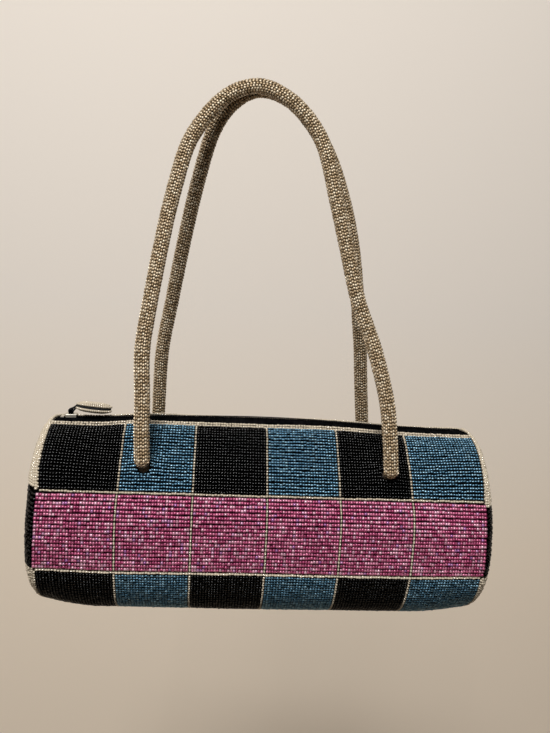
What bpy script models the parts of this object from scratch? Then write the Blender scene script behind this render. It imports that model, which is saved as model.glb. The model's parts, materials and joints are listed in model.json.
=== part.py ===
"""Beaded barrel shoulder bag with a zipped top and two stuffed rope handles.

Metres, +Z up. The origin is the point that the bag hangs from: the underside of the handles at
their highest point. +X runs along the barrel, the front is at -Y and the bag hangs below the origin.
The barrel is built in coordinates centred on its own axis and hung from an empty.
"""

from math import asin, atan2, cos, hypot, pi, radians, sin, tan

import bmesh
import bpy
from mathutils import Vector

# Driving sizes of the beaded barrel
COLUMN_COUNT = 6
ROW_COUNT = 7
COLUMN_WIDTH = 0.046
BAG_RADIUS = 0.063
BEAD_THICKNESS = 0.0021
BEAD_ROW_HEIGHT = 0.0022
BEAD_ROWS_TO_A_RIB = 3
GROOVE_DEPTH = 0.0008
SEAM_WIDTH = 0.0016
RIDGE_HEIGHT = 0.0003
CANVAS_THICKNESS = 0.001
PADDING_THICKNESS = 0.002
LINING_THICKNESS = 0.0008
LAYER_GAP = 0.0003
DOME_HEIGHT = 0.0129
DOME_WALL = 0.0024

# Driving sizes of the zip
SLOT_WIDTH = 0.0214
TRIM_WIDTH = 0.0036
TAPE_THICKNESS = 0.0005
TAPE_SINK = 0.0008
TAPE_EDGE_DROP = 0.001
TAPE_PARTING = 0.0011
ZIP_ARCH = 0.0034
COIL_WIDTH = 0.0024
COIL_THICKNESS = 0.0009
TOOTH_PITCH = 0.0034
TOOTH_ROOT = 0.0006
TOOTH_TIP = 0.0018
TOOTH_REACH = 0.00075
ZIP_END_MARGIN = 0.009
STOP_LENGTH = 0.0022
STOP_WIDTH = 0.003
STOP_THICKNESS = 0.0006

# Driving sizes of the slider and its pull
SLIDER_INSET = 0.0081
SLIDER_LENGTH = 0.0078
SLIDER_WIDTH = 0.0078
SLIDER_MOUTH = 0.0064
PLATE_THICKNESS = 0.0009
PLATE_EDGE = 0.0003
POST_LENGTH = 0.0018
POST_WIDTH = 0.0013
EAR_THICKNESS = 0.0007
EAR_LENGTH = 0.0026
EAR_RADIUS = 0.0009
PIN_RADIUS = 0.00045
STRAP_WIDTH = 0.0026
STRAP_THICKNESS = 0.0008
STRAP_REACH = 0.0049
TONGUE_LENGTH = 0.009
EYE_BORE_RADIUS = 0.00075
PAD_LENGTH = 0.0223
PAD_WIDTH = 0.0168
PAD_LAYER = 0.00195
PAD_ROUNDING = 0.0008
PAD_DISTANCE = 0.01695
PAD_RISE = 0.0027
PAD_TILT = radians(5)

# Driving sizes of the rope handles
ROPE_RADIUS = 0.0049
ROPE_CLEARANCE = 0.0005
ROPE_INSET = 0.015
ROPE_ENTRY_ANGLE = radians(47.2)
HANDLE_HEIGHT = 0.2372
CROWN_OFFSET = 0.017
CROWN_GAP = 0.0003
ANCHOR_FLANGE_RADIUS = 0.0075
ANCHOR_FLANGE_THICKNESS = 0.0012
ANCHOR_INSET = 0.0009
ROPE_STEP = 0.0145

# How finely round forms are drawn
ROW_STEPS = 4
DOME_STEPS = 30
ROUND_STEPS = 16
ZIP_STEPS = 22
OVAL_STEPS = 24
SHARP_ANGLE = radians(35)
CUT_OVERRUN = 0.004

# Each handle's line in its own plane: along the barrel, and up the plane, as shares of the reach
FRONT_ROUTE_SHARES = [
    (-0.326, 0.000), (-0.331, 0.110), (-0.340, 0.250), (-0.332, 0.400), (-0.306, 0.570),
    (-0.284, 0.690), (-0.255, 0.800), (-0.216, 0.905), (-0.152, 0.975), (-0.070, 1.000),
    (0.015, 0.985), (0.075, 0.930), (0.120, 0.845), (0.157, 0.740), (0.187, 0.620),
    (0.211, 0.490), (0.242, 0.395), (0.288, 0.270), (0.316, 0.130), (0.326, 0.000),
]
BACK_ROUTE_SHARES = [
    (-0.326, 0.000), (-0.325, 0.120), (-0.312, 0.255), (-0.288, 0.405), (-0.257, 0.585),
    (-0.232, 0.700), (-0.206, 0.815), (-0.175, 0.915), (-0.125, 0.980), (-0.070, 1.000),
    (0.000, 0.988), (0.055, 0.930), (0.095, 0.845), (0.128, 0.740), (0.160, 0.620),
    (0.192, 0.490), (0.236, 0.375), (0.286, 0.245), (0.318, 0.115), (0.326, 0.000),
]
# The rounded rope end beyond the hinge: distance and thickness as shares of the rope's radius
ROPE_END_SHARES = [(1.0, 0.12), (0.87, 0.5), (0.5, 0.87)]
# Rings of a dome's profile, from its middle to its rim, as shares of the radius
DOME_RING_SHARES = [0.0, 0.5, 0.76, 0.9, 0.965, 0.992, 1.0]
LINER_RING_SHARES = [0.0, 0.6, 0.9, 1.0]
# Where the dark band of a dome begins and ends, as shares of the radius over its middle
DARK_BAND_SHARES = (-0.315, 0.489)
DOME_FULLNESS = 2.5

# Sizes that follow from those above
BARREL_LENGTH = COLUMN_COUNT * COLUMN_WIDTH
HALF_LENGTH = BARREL_LENGTH / 2
ROPE_SPREAD = HALF_LENGTH - COLUMN_WIDTH - ROPE_INSET
SLIDER_START = SLIDER_INSET - HALF_LENGTH
BEAD_INNER = BAG_RADIUS - BEAD_THICKNESS
CANVAS_OUTER = BEAD_INNER - LAYER_GAP
CANVAS_INNER = CANVAS_OUTER - CANVAS_THICKNESS
PADDING_OUTER = CANVAS_INNER - LAYER_GAP
PADDING_INNER = PADDING_OUTER - PADDING_THICKNESS
LINING_OUTER = PADDING_INNER - LAYER_GAP
LINING_INNER = LINING_OUTER - LINING_THICKNESS
SLOT_ANGLE = asin(SLOT_WIDTH / 2 / BAG_RADIUS)
TRIM_ANGLE = SLOT_ANGLE + TRIM_WIDTH / BAG_RADIUS
GAP_ANGLE = LAYER_GAP / BAG_RADIUS
ROW_ANGLE = (2 * pi - 2 * TRIM_ANGLE) / ROW_COUNT
RIB_COUNT = round(ROW_ANGLE * BAG_RADIUS / (BEAD_ROW_HEIGHT * BEAD_ROWS_TO_A_RIB))
ROPE_PIVOT_RADIUS = BAG_RADIUS + ROPE_CLEARANCE + ROPE_RADIUS
PIVOT_DEPTH = ROPE_PIVOT_RADIUS * sin(ROPE_ENTRY_ANGLE)
PIVOT_HEIGHT = ROPE_PIVOT_RADIUS * cos(ROPE_ENTRY_ANGLE)
CROWN_DEPTH = ROPE_RADIUS + CROWN_GAP / 2
HANDLE_LEAN = asin((PIVOT_DEPTH - CROWN_DEPTH) / HANDLE_HEIGHT)
CROWN_HEIGHT = PIVOT_HEIGHT + HANDLE_HEIGHT * cos(HANDLE_LEAN)
HANG_HEIGHT = CROWN_HEIGHT - ROPE_RADIUS
TAPE_HEIGHT = BAG_RADIUS - TAPE_SINK
TAPE_EDGE = SLOT_WIDTH / 2 - 1.5 * LAYER_GAP
COIL_RISE = TAPE_THICKNESS / 2 + LAYER_GAP + COIL_THICKNESS / 2
COIL_ROOT = TOOTH_REACH + LAYER_GAP
CHANNEL_TOP = TAPE_HEIGHT + COIL_RISE + COIL_THICKNESS / 2 + LAYER_GAP
FLANGE_BOTTOM = TAPE_HEIGHT + TAPE_THICKNESS / 2 + LAYER_GAP
CHANNEL_BOTTOM = TAPE_HEIGHT - TAPE_THICKNESS / 2 - LAYER_GAP - TAPE_EDGE_DROP * SLIDER_WIDTH / SLOT_WIDTH
PLATE_TOP = CHANNEL_TOP + PLATE_THICKNESS
PLATE_BOTTOM = CHANNEL_BOTTOM - PLATE_THICKNESS
EYE_RADIUS = EYE_BORE_RADIUS + STRAP_THICKNESS
PIN_HEIGHT = PLATE_TOP + EYE_RADIUS + LAYER_GAP
COIL_START = SLIDER_START - SLIDER_LENGTH / 2
FIRST_TOOTH = SLIDER_START + POST_LENGTH / 2
LAST_TOOTH = HALF_LENGTH - ZIP_END_MARGIN
TOOTH_COUNT = int((LAST_TOOTH - FIRST_TOOTH) / TOOTH_PITCH)
COIL_END = FIRST_TOOTH + TOOTH_PITCH * TOOTH_COUNT


def clear_scene():
    """Removes whatever objects the open file holds."""
    for old in list(bpy.data.objects):
        bpy.data.objects.remove(old, do_unlink=True)


def new_collection(name):
    """A collection linked to the scene."""
    collection = bpy.data.collections.new(name)
    bpy.context.scene.collection.children.link(collection)
    return collection


def new_material(name, colour, roughness, metallic=0.0):
    """A Principled material of one colour."""
    material = bpy.data.materials.new(name)
    material.use_nodes = True
    shader = material.node_tree.nodes["Principled BSDF"]
    shader.inputs["Base Color"].default_value = (*colour, 1.0)
    shader.inputs["Roughness"].default_value = roughness
    shader.inputs["Metallic"].default_value = metallic
    material.diffuse_color = (*colour, 1.0)
    return material


def new_empty(name, location, parent=None):
    """An empty that marks a centre or a joint's axis."""
    empty = bpy.data.objects.new(name, None)
    empty.location = location
    empty.parent = parent
    parts.objects.link(empty)
    return empty


def add_part(name, mesh, material, parent, location=(0, 0, 0), rotation=(0, 0, 0)):
    """A named mesh object with its material, under the empty that carries it."""
    part = bpy.data.objects.new(name, mesh)
    part.data.materials.append(material)
    part.parent = parent
    part.location = location
    part.rotation_euler = rotation
    part.data.shade_smooth()
    part.data.set_sharp_from_angle(angle=SHARP_ANGLE)
    parts.objects.link(part)
    return part


def paint(part, material, inside):
    """Gives a further material to the faces whose centre passes a test, in the mesh's own coordinates."""
    part.data.materials.append(material)
    index = len(part.data.materials) - 1
    for face in part.data.polygons:
        if inside(face.center):
            face.material_index = index


def mesh_of(source):
    """The evaluated mesh of a curve or modified object, with its caps welded. The source is removed."""
    bpy.context.view_layer.update()
    evaluated = source.evaluated_get(bpy.context.evaluated_depsgraph_get())
    mesh = bpy.data.meshes.new_from_object(evaluated)
    mesh.transform(source.matrix_world)
    welded = bmesh.new()
    welded.from_mesh(mesh)
    bmesh.ops.remove_doubles(welded, verts=welded.verts, dist=LAYER_GAP / 30)
    bmesh.ops.recalc_face_normals(welded, faces=welded.faces)
    if welded.calc_volume(signed=True) < 0:
        bmesh.ops.reverse_faces(welded, faces=welded.faces)
    welded.to_mesh(mesh)
    welded.free()
    bpy.data.objects.remove(source, do_unlink=True)
    return mesh


def extruded(outline, thickness, rotation=(0, 0, 0), centre=(0, 0, 0), rounding=0.0):
    """A flat closed outline given thickness, as a mesh. The outline lies in the local XY plane."""
    curve = bpy.data.curves.new("outline", "CURVE")
    curve.dimensions = "2D"
    curve.fill_mode = "BOTH"
    curve.extrude = thickness / 2 - rounding
    curve.bevel_depth = rounding
    curve.bevel_resolution = 1
    curve.offset = -rounding
    spline = curve.splines.new("POLY")
    spline.points.add(len(outline) - 1)
    for point, (across, up) in zip(spline.points, outline):
        point.co = (across, up, 0, 1)
    spline.use_cyclic_u = True
    source = bpy.data.objects.new("outline", curve)
    source.rotation_euler = rotation
    source.location = centre
    bpy.context.scene.collection.objects.link(source)
    return mesh_of(source)


def turned(profile, steps=ROUND_STEPS):
    """A profile of (radius, height) points turned about Z, from its top down the outer side."""
    mesh = bpy.data.meshes.new("profile")
    edges = [(i, i + 1) for i in range(len(profile) - 1)]
    mesh.from_pydata([(radius, 0, height) for radius, height in profile], edges, [])
    source = bpy.data.objects.new("profile", mesh)
    bpy.context.scene.collection.objects.link(source)
    screw = source.modifiers.new("turn", "SCREW")
    screw.steps = steps
    screw.render_steps = steps
    screw.use_merge_vertices = True
    screw.merge_threshold = LAYER_GAP / 30
    return mesh_of(source)


def box_mesh(low, high, edge=0.0):
    """A box between two corners, with an optional bevel on its edges."""
    low, high = Vector(low), Vector(high)
    block = bmesh.new()
    bmesh.ops.create_cube(block, size=1)
    bmesh.ops.scale(block, verts=block.verts, vec=high - low)
    bmesh.ops.translate(block, verts=block.verts, vec=(high + low) / 2)
    if edge:
        bmesh.ops.bevel(block, geom=block.edges[:], offset=edge, segments=1, profile=0.5, affect="EDGES", material=-1)
    mesh = bpy.data.meshes.new("block")
    block.to_mesh(mesh)
    block.free()
    return mesh


def combine(part, mesh, operation):
    """Adds a mesh to a part, or cuts it out, with an exact Boolean."""
    helper = bpy.data.objects.new(part.name + "." + operation.lower(), mesh)
    helper.parent = part.parent
    helper.hide_render = True
    helper.display_type = "WIRE"
    cutters.objects.link(helper)
    boolean = part.modifiers.new(operation.lower(), "BOOLEAN")
    boolean.operation = operation
    boolean.object = helper
    boolean.solver = "EXACT"
    return helper


# The barrel's layers

ALONG_BARREL = (pi / 2, 0, pi / 2)
FROM_THE_SIDE = (pi / 2, 0, 0)


def on_barrel(radius, angle):
    """(y, z) of a point of the barrel's cross-section. The angle runs from the top towards the front."""
    return (-radius * sin(angle), radius * cos(angle))


def row_line_angles():
    """Where one row of panels ends and the next begins."""
    return [TRIM_ANGLE + ROW_ANGLE * (row + 1) for row in range(ROW_COUNT - 1)]


def layer_angles(first):
    """Angles of the vertices of a layer that runs round from first to the same angle behind."""
    steps = ROW_COUNT * ROW_STEPS
    inner = [TRIM_ANGLE + ROW_ANGLE * step / ROW_STEPS for step in range(1, steps)]
    ends = [first] if first >= TRIM_ANGLE else [first, TRIM_ANGLE]
    return ends + inner + [2 * pi - angle for angle in reversed(ends)]


def beaded_side(outer, first):
    """The outer side of the beads' section: a rib for every few rows, and a raised line between panels."""
    half_line = BEAD_ROW_HEIGHT / 2 / BAG_RADIUS
    lines = row_line_angles()
    starts = [first] + [line + half_line for line in lines]
    ends = [line - half_line for line in lines] + [2 * pi - first]
    side = []
    for start, end in zip(starts, ends):
        if side:
            side += [on_barrel(outer + RIDGE_HEIGHT, start - 2 * half_line), on_barrel(outer + RIDGE_HEIGHT, start)]
        step = (end - start) / RIB_COUNT
        side.append(on_barrel(outer - GROOVE_DEPTH, start))
        for rib in range(RIB_COUNT):
            side.append(on_barrel(outer, start + step * (rib + 0.5)))
            side.append(on_barrel(outer - GROOVE_DEPTH, start + step * (rib + 1)))
    return side


def layer_outline(inner, outer, first, beaded=False):
    """The C-shaped section of a layer, round on both sides or with the beads' rows on its outer one."""
    plain = [on_barrel(outer, angle) for angle in layer_angles(first)]
    outside = beaded_side(outer, first) if beaded else plain
    inside = [on_barrel(inner, angle) for angle in reversed(layer_angles(first))]
    return outside + inside


def layer(name, inner, outer, first, low, high, material, beaded=False):
    """A layer of the barrel between two places along it."""
    outline = layer_outline(inner, outer, first, beaded)
    mesh = extruded(outline, high - low, ALONG_BARREL, ((low + high) / 2, 0, 0))
    return add_part(name, mesh, material, bag)


def in_purple_row(centre):
    """Whether a point of the bead layer belongs to the second, fourth or sixth row of panels."""
    angle = atan2(-centre.y, centre.z) % (2 * pi)
    return int((angle - TRIM_ANGLE) / ROW_ANGLE) % 2 == 1


def on_ridge(centre):
    """Whether a point stands proud of the bead layer, on a line between two rows."""
    return hypot(centre.y, centre.z) > BAG_RADIUS + RIDGE_HEIGHT / 2


def bead_columns():
    """Six hoops of beaded panels and the single bead lines between them."""
    first = TRIM_ANGLE + GAP_ANGLE
    hoops = []
    for column in range(COLUMN_COUNT):
        left = -HALF_LENGTH + column * COLUMN_WIDTH
        left_seam = SEAM_WIDTH if column == 0 else SEAM_WIDTH / 2
        right_seam = SEAM_WIDTH if column == COLUMN_COUNT - 1 else SEAM_WIDTH / 2
        low = left + left_seam + LAYER_GAP
        high = left + COLUMN_WIDTH - right_seam - LAYER_GAP
        look = black_beads if column % 2 == 0 else blue_beads
        name = f"bead_column_{column + 1}"
        hoop = layer(name, BEAD_INNER, BAG_RADIUS, first, low, high, look, beaded=True)
        paint(hoop, purple_beads, in_purple_row)
        paint(hoop, pale_beads, on_ridge)
        hoops.append(hoop)
    for seam in range(COLUMN_COUNT + 1):
        low = -HALF_LENGTH + seam * COLUMN_WIDTH - SEAM_WIDTH / 2
        if seam == 0:
            low = -HALF_LENGTH
        if seam == COLUMN_COUNT:
            low = HALF_LENGTH - SEAM_WIDTH
        outer = BAG_RADIUS + RIDGE_HEIGHT
        layer(f"seam_line_{seam + 1}", BEAD_INNER, outer, first, low, low + SEAM_WIDTH, pale_beads)
    return hoops


def zip_trims():
    """The double bead lines that edge the zip's slot in front and behind."""
    outer = BAG_RADIUS + RIDGE_HEIGHT
    section = [
        on_barrel(outer, SLOT_ANGLE),
        on_barrel(outer, TRIM_ANGLE),
        on_barrel(BEAD_INNER, TRIM_ANGLE),
        on_barrel(BEAD_INNER, SLOT_ANGLE),
    ]
    add_part("zip_trim_front", extruded(section, BARREL_LENGTH, ALONG_BARREL), pale_beads, bag)
    behind = [(-across, up) for across, up in reversed(section)]
    add_part("zip_trim_back", extruded(behind, BARREL_LENGTH, ALONG_BARREL), pale_beads, bag)


def inner_layers():
    """The canvas that carries the beads, the padding and the lining, all open along the top."""
    ends = (-HALF_LENGTH, HALF_LENGTH)
    base = layer("canvas", CANVAS_INNER, CANVAS_OUTER, SLOT_ANGLE, *ends, canvas_cloth)
    foam = layer("padding", PADDING_INNER, PADDING_OUTER, SLOT_ANGLE, *ends, foam_sheet)
    layer("lining", LINING_INNER, LINING_OUTER, SLOT_ANGLE, *ends, lining_cloth)
    return base, foam


def dome_profile(radius, height, wall, shares):
    """A dome's wall as a profile, from the middle of the outside, round the rim, to the middle within."""
    rises = [(1 - share**DOME_FULLNESS) ** 0.5 for share in shares]
    outside = [(radius * share, height * rise) for share, rise in zip(shares, rises)]
    within = [((radius - wall) * share, (height - wall) * rise) for share, rise in zip(shares, rises)]
    return outside + within[::-1]


def in_dark_band(side):
    """A test for the dark band that crosses a dome, which its seat turns on its side."""
    low, high = (BAG_RADIUS * share for share in DARK_BAND_SHARES)
    return lambda centre: low < -side * centre.x < high


def end_caps():
    """A beaded dome with its lining at each end of the barrel."""
    lining_radius = BAG_RADIUS - DOME_WALL - LAYER_GAP
    lining_height = DOME_HEIGHT - DOME_WALL - LAYER_GAP
    for side, name in ((-1, "left"), (1, "right")):
        seat = (side * (HALF_LENGTH + LAYER_GAP), 0, 0)
        turn = (0, side * pi / 2, 0)
        shell = turned(dome_profile(BAG_RADIUS, DOME_HEIGHT, DOME_WALL, DOME_RING_SHARES), DOME_STEPS)
        cap = add_part(f"end_cap_{name}", shell, pale_beads, bag, seat, turn)
        paint(cap, black_beads, in_dark_band(side))
        profile = dome_profile(lining_radius, lining_height, LINING_THICKNESS, LINER_RING_SHARES)
        liner = turned(profile, DOME_STEPS)
        add_part(f"end_lining_{name}", liner, lining_cloth, bag, seat, turn)


# The rope handles and what holds them

def rope_entries():
    """Name, place along the barrel and side of each of the four rope ends."""
    for side, depth in (("front", -1), ("back", 1)):
        for end, along in (("left", -ROPE_SPREAD), ("right", ROPE_SPREAD)):
            yield side, depth, end, along


def radial_turn(depth):
    """Turns a form that stands on Z so that it stands on the barrel at a rope's entry."""
    return (-depth * ROPE_ENTRY_ANGLE, 0, 0)


def drill(part, radius, depth, along):
    """Cuts a rope's hole straight through a layer."""
    low, high = LINING_INNER - CUT_OVERRUN, BAG_RADIUS + CUT_OVERRUN
    mesh = turned([(0, high), (radius, high), (radius, low), (0, low)])
    helper = combine(part, mesh, "DIFFERENCE")
    helper.rotation_euler = radial_turn(depth)
    helper.location = (along, 0, 0)


def rope_anchors(hoops, base, foam):
    """The end of each rope: a plug through the beads and canvas, and a disc sewn in behind them."""
    top = BAG_RADIUS
    shoulder = CANVAS_INNER - ANCHOR_INSET
    bottom = shoulder - ANCHOR_FLANGE_THICKNESS
    profile = [
        (0, top),
        (ROPE_RADIUS, top),
        (ROPE_RADIUS, shoulder),
        (ANCHOR_FLANGE_RADIUS, shoulder),
        (ANCHOR_FLANGE_RADIUS, bottom),
        (0, bottom),
    ]
    for side, depth, end, along in rope_entries():
        column = int((along + HALF_LENGTH) / COLUMN_WIDTH)
        for part in (hoops[column], base):
            drill(part, ROPE_RADIUS + LAYER_GAP, depth, along)
        drill(foam, ANCHOR_FLANGE_RADIUS + LAYER_GAP, depth, along)
        name = f"rope_anchor_{side}_{end}"
        add_part(name, turned(profile), rope_beads, bag, (along, 0, 0), radial_turn(depth))


def smooth_line(points, step):
    """Points about a step apart on a smooth curve through the given points, the ends kept."""
    padded = [points[0] * 2 - points[1]] + points + [points[-1] * 2 - points[-2]]
    fine = []
    for before, start, end, after in zip(padded, padded[1:], padded[2:], padded[3:]):
        count = 12
        for part in range(count):
            t = part / count
            a = end - before
            b = 2 * before - 5 * start + 4 * end - after
            c = 3 * start - before - 3 * end + after
            fine.append(start + (a * t + b * t * t + c * t * t * t) / 2)
    fine.append(points[-1])
    lengths = [0.0]
    for start, end in zip(fine, fine[1:]):
        lengths.append(lengths[-1] + (end - start).length)
    count = round(lengths[-1] / step)
    line = []
    for index in range(count + 1):
        target = lengths[-1] * index / count
        at = max(i for i, length in enumerate(lengths) if length <= target + 1e-12)
        at = min(at, len(fine) - 2)
        share = (target - lengths[at]) / (lengths[at + 1] - lengths[at])
        line.append(fine[at].lerp(fine[at + 1], share))
    return line, lengths[-1]


def rope_handle(side, depth, shares, parent):
    """One stuffed rope in its own leaning plane, with rounded ends that turn on the hinge line."""
    route = [Vector((x * HANDLE_HEIGHT, 0, up * HANDLE_HEIGHT)) for x, up in shares]
    spread = ROPE_SPREAD / route[-1].x
    route = [Vector((point.x * spread, 0, point.z)) for point in route]
    line, length = smooth_line(route, ROPE_STEP)
    start = (line[0] - line[1]).normalized()
    end = (line[-1] - line[-2]).normalized()
    points = [(line[0] + start * ROPE_RADIUS * out, thick) for out, thick in ROPE_END_SHARES]
    points += [(point, 1.0) for point in line]
    points += [(line[-1] + end * ROPE_RADIUS * out, thick) for out, thick in reversed(ROPE_END_SHARES)]
    curve = bpy.data.curves.new("rope", "CURVE")
    curve.dimensions = "3D"
    curve.bevel_depth = ROPE_RADIUS
    curve.bevel_resolution = 3
    curve.use_fill_caps = True
    spline = curve.splines.new("POLY")
    spline.points.add(len(points) - 1)
    for target, (place, thickness) in zip(spline.points, points):
        target.co = (*place, 1)
        target.radius = thickness
    source = bpy.data.objects.new("rope", curve)
    bpy.context.scene.collection.objects.link(source)
    name = f"handle_{side}"
    add_part(name, mesh_of(source), rope_beads, parent, rotation=(depth * HANDLE_LEAN, 0, 0))
    print(f"{name}: {length:.3f} m of rope between its entries")


def handles():
    """Both ropes, each under an empty on its hinge line."""
    for side, depth, shares in (("front", -1, FRONT_ROUTE_SHARES), ("back", 1, BACK_ROUTE_SHARES)):
        axis = new_empty(f"handle_{side}_axis", (0, depth * PIVOT_DEPTH, PIVOT_HEIGHT), bag)
        rope_handle(side, depth, shares, axis)


# The zip

def zip_height(along, across):
    """Height of a tape's middle: it falls to the slot's edges and arches up half way along."""
    share = abs(across) / TAPE_EDGE
    arch = ZIP_ARCH * cos(pi / 2 * along / HALF_LENGTH) ** 2
    return TAPE_HEIGHT - TAPE_EDGE_DROP * share + arch * max(0, 1 - share)


def strip_mesh(places, inner, outer):
    """An open strip in the XY plane with an edge across it at each place, and its vertices by place."""
    strip = bmesh.new()
    bmesh.ops.create_grid(strip, x_segments=len(places) - 1, y_segments=1, size=1)
    marks = strip.verts.layers.int.new("place")
    for vertex in strip.verts:
        vertex[marks] = round((vertex.co.x + 1) / 2 * (len(places) - 1))
        vertex.co.x = places[vertex[marks]]
        vertex.co.y = -inner if vertex.co.y > 0 else -outer
    return strip, marks


def grow_teeth(strip, marks):
    """Extrudes every second edge of the strip's inner side into a tooth that widens to its tip."""
    roots = []
    for edge in strip.edges:
        first, second = edge.verts
        inner = first.co.y == second.co.y == max(vertex.co.y for vertex in edge.verts)
        if inner and first.co.y > -COIL_WIDTH / 2 and min(first[marks], second[marks]) % 2 == 1:
            roots.append(edge)
    grown = bmesh.ops.extrude_edge_only(strip, edges=roots)["geom"]
    for tip in [item for item in grown if isinstance(item, bmesh.types.BMVert)]:
        tip.co.y = TOOTH_REACH
        tip.co.x += (TOOTH_TIP - TOOTH_ROOT) / 2 * (-1 if tip[marks] % 2 == 1 else 1)


def lay_on_zip(name, strip, thickness, rise, mirror, material):
    """Lays a strip over the arched zip, in front of or behind its middle, and gives it thickness."""
    for vertex in strip.verts:
        vertex.co.y *= mirror
        vertex.co.z = rise + zip_height(vertex.co.x, vertex.co.y)
    mesh = bpy.data.meshes.new(name)
    strip.to_mesh(mesh)
    strip.free()
    part = add_part(name, mesh, material, bag)
    solid = part.modifiers.new("thickness", "SOLIDIFY")
    solid.thickness = thickness
    solid.offset = 0


def zip_halves():
    """Two tapes, and on each its half of the coil, whose teeth mesh along the middle of the slot.

    Each tooth stands between two of the other half, and no tip can pass back between their tips.
    """
    ends = HALF_LENGTH - LAYER_GAP
    stations = [ends * (2 * step / ZIP_STEPS - 1) for step in range(ZIP_STEPS + 1)]
    for side, offset, mirror in (("front", 0, 1), ("back", TOOTH_PITCH / 2, -1)):
        tape, _ = strip_mesh(stations, TAPE_PARTING, TAPE_EDGE)
        lay_on_zip(f"zip_tape_{side}", tape, TAPE_THICKNESS, 0, mirror, zip_black)
        places = [COIL_START]
        for index in range(TOOTH_COUNT):
            middle = FIRST_TOOTH + offset + TOOTH_PITCH * index
            places += [middle - TOOTH_ROOT / 2, middle + TOOTH_ROOT / 2]
        coil, marks = strip_mesh(places + [COIL_END], COIL_ROOT, COIL_WIDTH)
        grow_teeth(coil, marks)
        lay_on_zip(f"zip_coil_{side}", coil, COIL_THICKNESS, COIL_RISE, mirror, coil_black)


def stop_outline(along, mirror):
    """A stop's section across the zip: a clip that goes round the inner edge of its tape."""
    slack = TAPE_THICKNESS / 2 + LAYER_GAP
    inside = TAPE_PARTING - LAYER_GAP
    web = inside - STOP_THICKNESS
    section = [
        (STOP_WIDTH, slack + STOP_THICKNESS),
        (web, slack + STOP_THICKNESS),
        (web, -slack - STOP_THICKNESS),
        (STOP_WIDTH, -slack - STOP_THICKNESS),
        (STOP_WIDTH, -slack),
        (inside, -slack),
        (inside, slack),
        (STOP_WIDTH, slack),
    ]
    return [(mirror * across, zip_height(along, across) + up) for across, up in section]


def zip_stops():
    """A clip on each tape at either end of the coil. Those where the zip opens stand end to end."""
    left = COIL_START - LAYER_GAP - STOP_LENGTH / 2
    right = COIL_END + LAYER_GAP + TOOTH_PITCH / 2 + STOP_LENGTH / 2
    for side, mirror in (("front", -1), ("back", 1)):
        for end, along in (("closed", left), ("open", right)):
            clip = extruded(stop_outline(along, mirror), STOP_LENGTH, ALONG_BARREL, (along, 0, 0))
            add_part(f"zip_stop_{side}_{end}", clip, nickel, bag)


def slider_outline():
    """The slider seen from above: a round-shouldered mouth at -X and a narrower heel at +X."""
    half, wide = SLIDER_LENGTH / 2, SLIDER_WIDTH / 2
    heel_share, shoulder_share, mouth_share = 0.84, 0.7, 0.52
    upper_side = [
        (half, wide * heel_share),
        (0, wide),
        (-half * shoulder_share, wide),
        (-half, wide * mouth_share),
    ]
    return upper_side + [(x, -y) for x, y in reversed(upper_side)]


def channel_outline():
    """The room for the two halves of the coil, side by side at the heel and parted at the mouth."""
    half, heel, mouth = SLIDER_LENGTH / 2 + CUT_OVERRUN, COIL_WIDTH + LAYER_GAP, SLIDER_MOUTH / 2
    upper_side = [(half, heel), (0, heel), (-SLIDER_LENGTH / 2, mouth), (-half, mouth)]
    return upper_side + [(x, -y) for x, y in reversed(upper_side)]


def post_outline():
    """The post that parts the two halves of the coil, pointed towards the heel."""
    left, right, wide = -SLIDER_LENGTH / 2 + 2 * PLATE_EDGE, -POST_LENGTH / 2 + PLATE_EDGE, POST_WIDTH / 2
    middle = (left + right) / 2
    return [(left, -wide), (left, wide), (middle, wide), (right, 0), (middle, -wide)]


def between(bottom, top):
    """Centre of an extrusion that stands between two heights."""
    return (0, 0, (bottom + top) / 2)


def slider(parent):
    """The slider: a grooved body on a flat plate, joined by the post, with ears and a pin on top."""
    block = extruded(
        slider_outline(), PLATE_TOP - PLATE_BOTTOM, centre=between(PLATE_BOTTOM, PLATE_TOP), rounding=PLATE_EDGE
    )
    body = add_part("slider_body", block, nickel, parent)
    wide, long = SLIDER_WIDTH / 2 + CUT_OVERRUN, SLIDER_LENGTH / 2 + CUT_OVERRUN
    slit = box_mesh((-long, -wide, CHANNEL_BOTTOM), (long, wide, FLANGE_BOTTOM))
    combine(body, slit, "DIFFERENCE")
    groove_bottom = (CHANNEL_BOTTOM + FLANGE_BOTTOM) / 2
    groove_place = between(groove_bottom, CHANNEL_TOP)
    groove = extruded(channel_outline(), CHANNEL_TOP - groove_bottom, centre=groove_place)
    combine(body, groove, "DIFFERENCE")
    foot, head = PLATE_BOTTOM + PLATE_THICKNESS / 2, PLATE_TOP - PLATE_THICKNESS / 2
    combine(body, extruded(post_outline(), head - foot, centre=between(foot, head)), "UNION")
    ear_inner = STRAP_WIDTH / 2 + LAYER_GAP
    for depth in (-1, 1):
        low_y = min(depth * ear_inner, depth * (ear_inner + EAR_THICKNESS))
        corner = (-EAR_LENGTH / 2, low_y, head)
        far = (EAR_LENGTH / 2, low_y + EAR_THICKNESS, PIN_HEIGHT + EAR_RADIUS)
        combine(body, box_mesh(corner, far, PLATE_EDGE), "UNION")
    reach = ear_inner + EAR_THICKNESS / 2
    pin = turned([(0, reach), (PIN_RADIUS, reach), (PIN_RADIUS, -reach), (0, -reach)], ROUND_STEPS // 2)
    helper = combine(body, pin, "UNION")
    helper.rotation_euler = (pi / 2, 0, 0)
    helper.location = (0, 0, PIN_HEIGHT)


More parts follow.
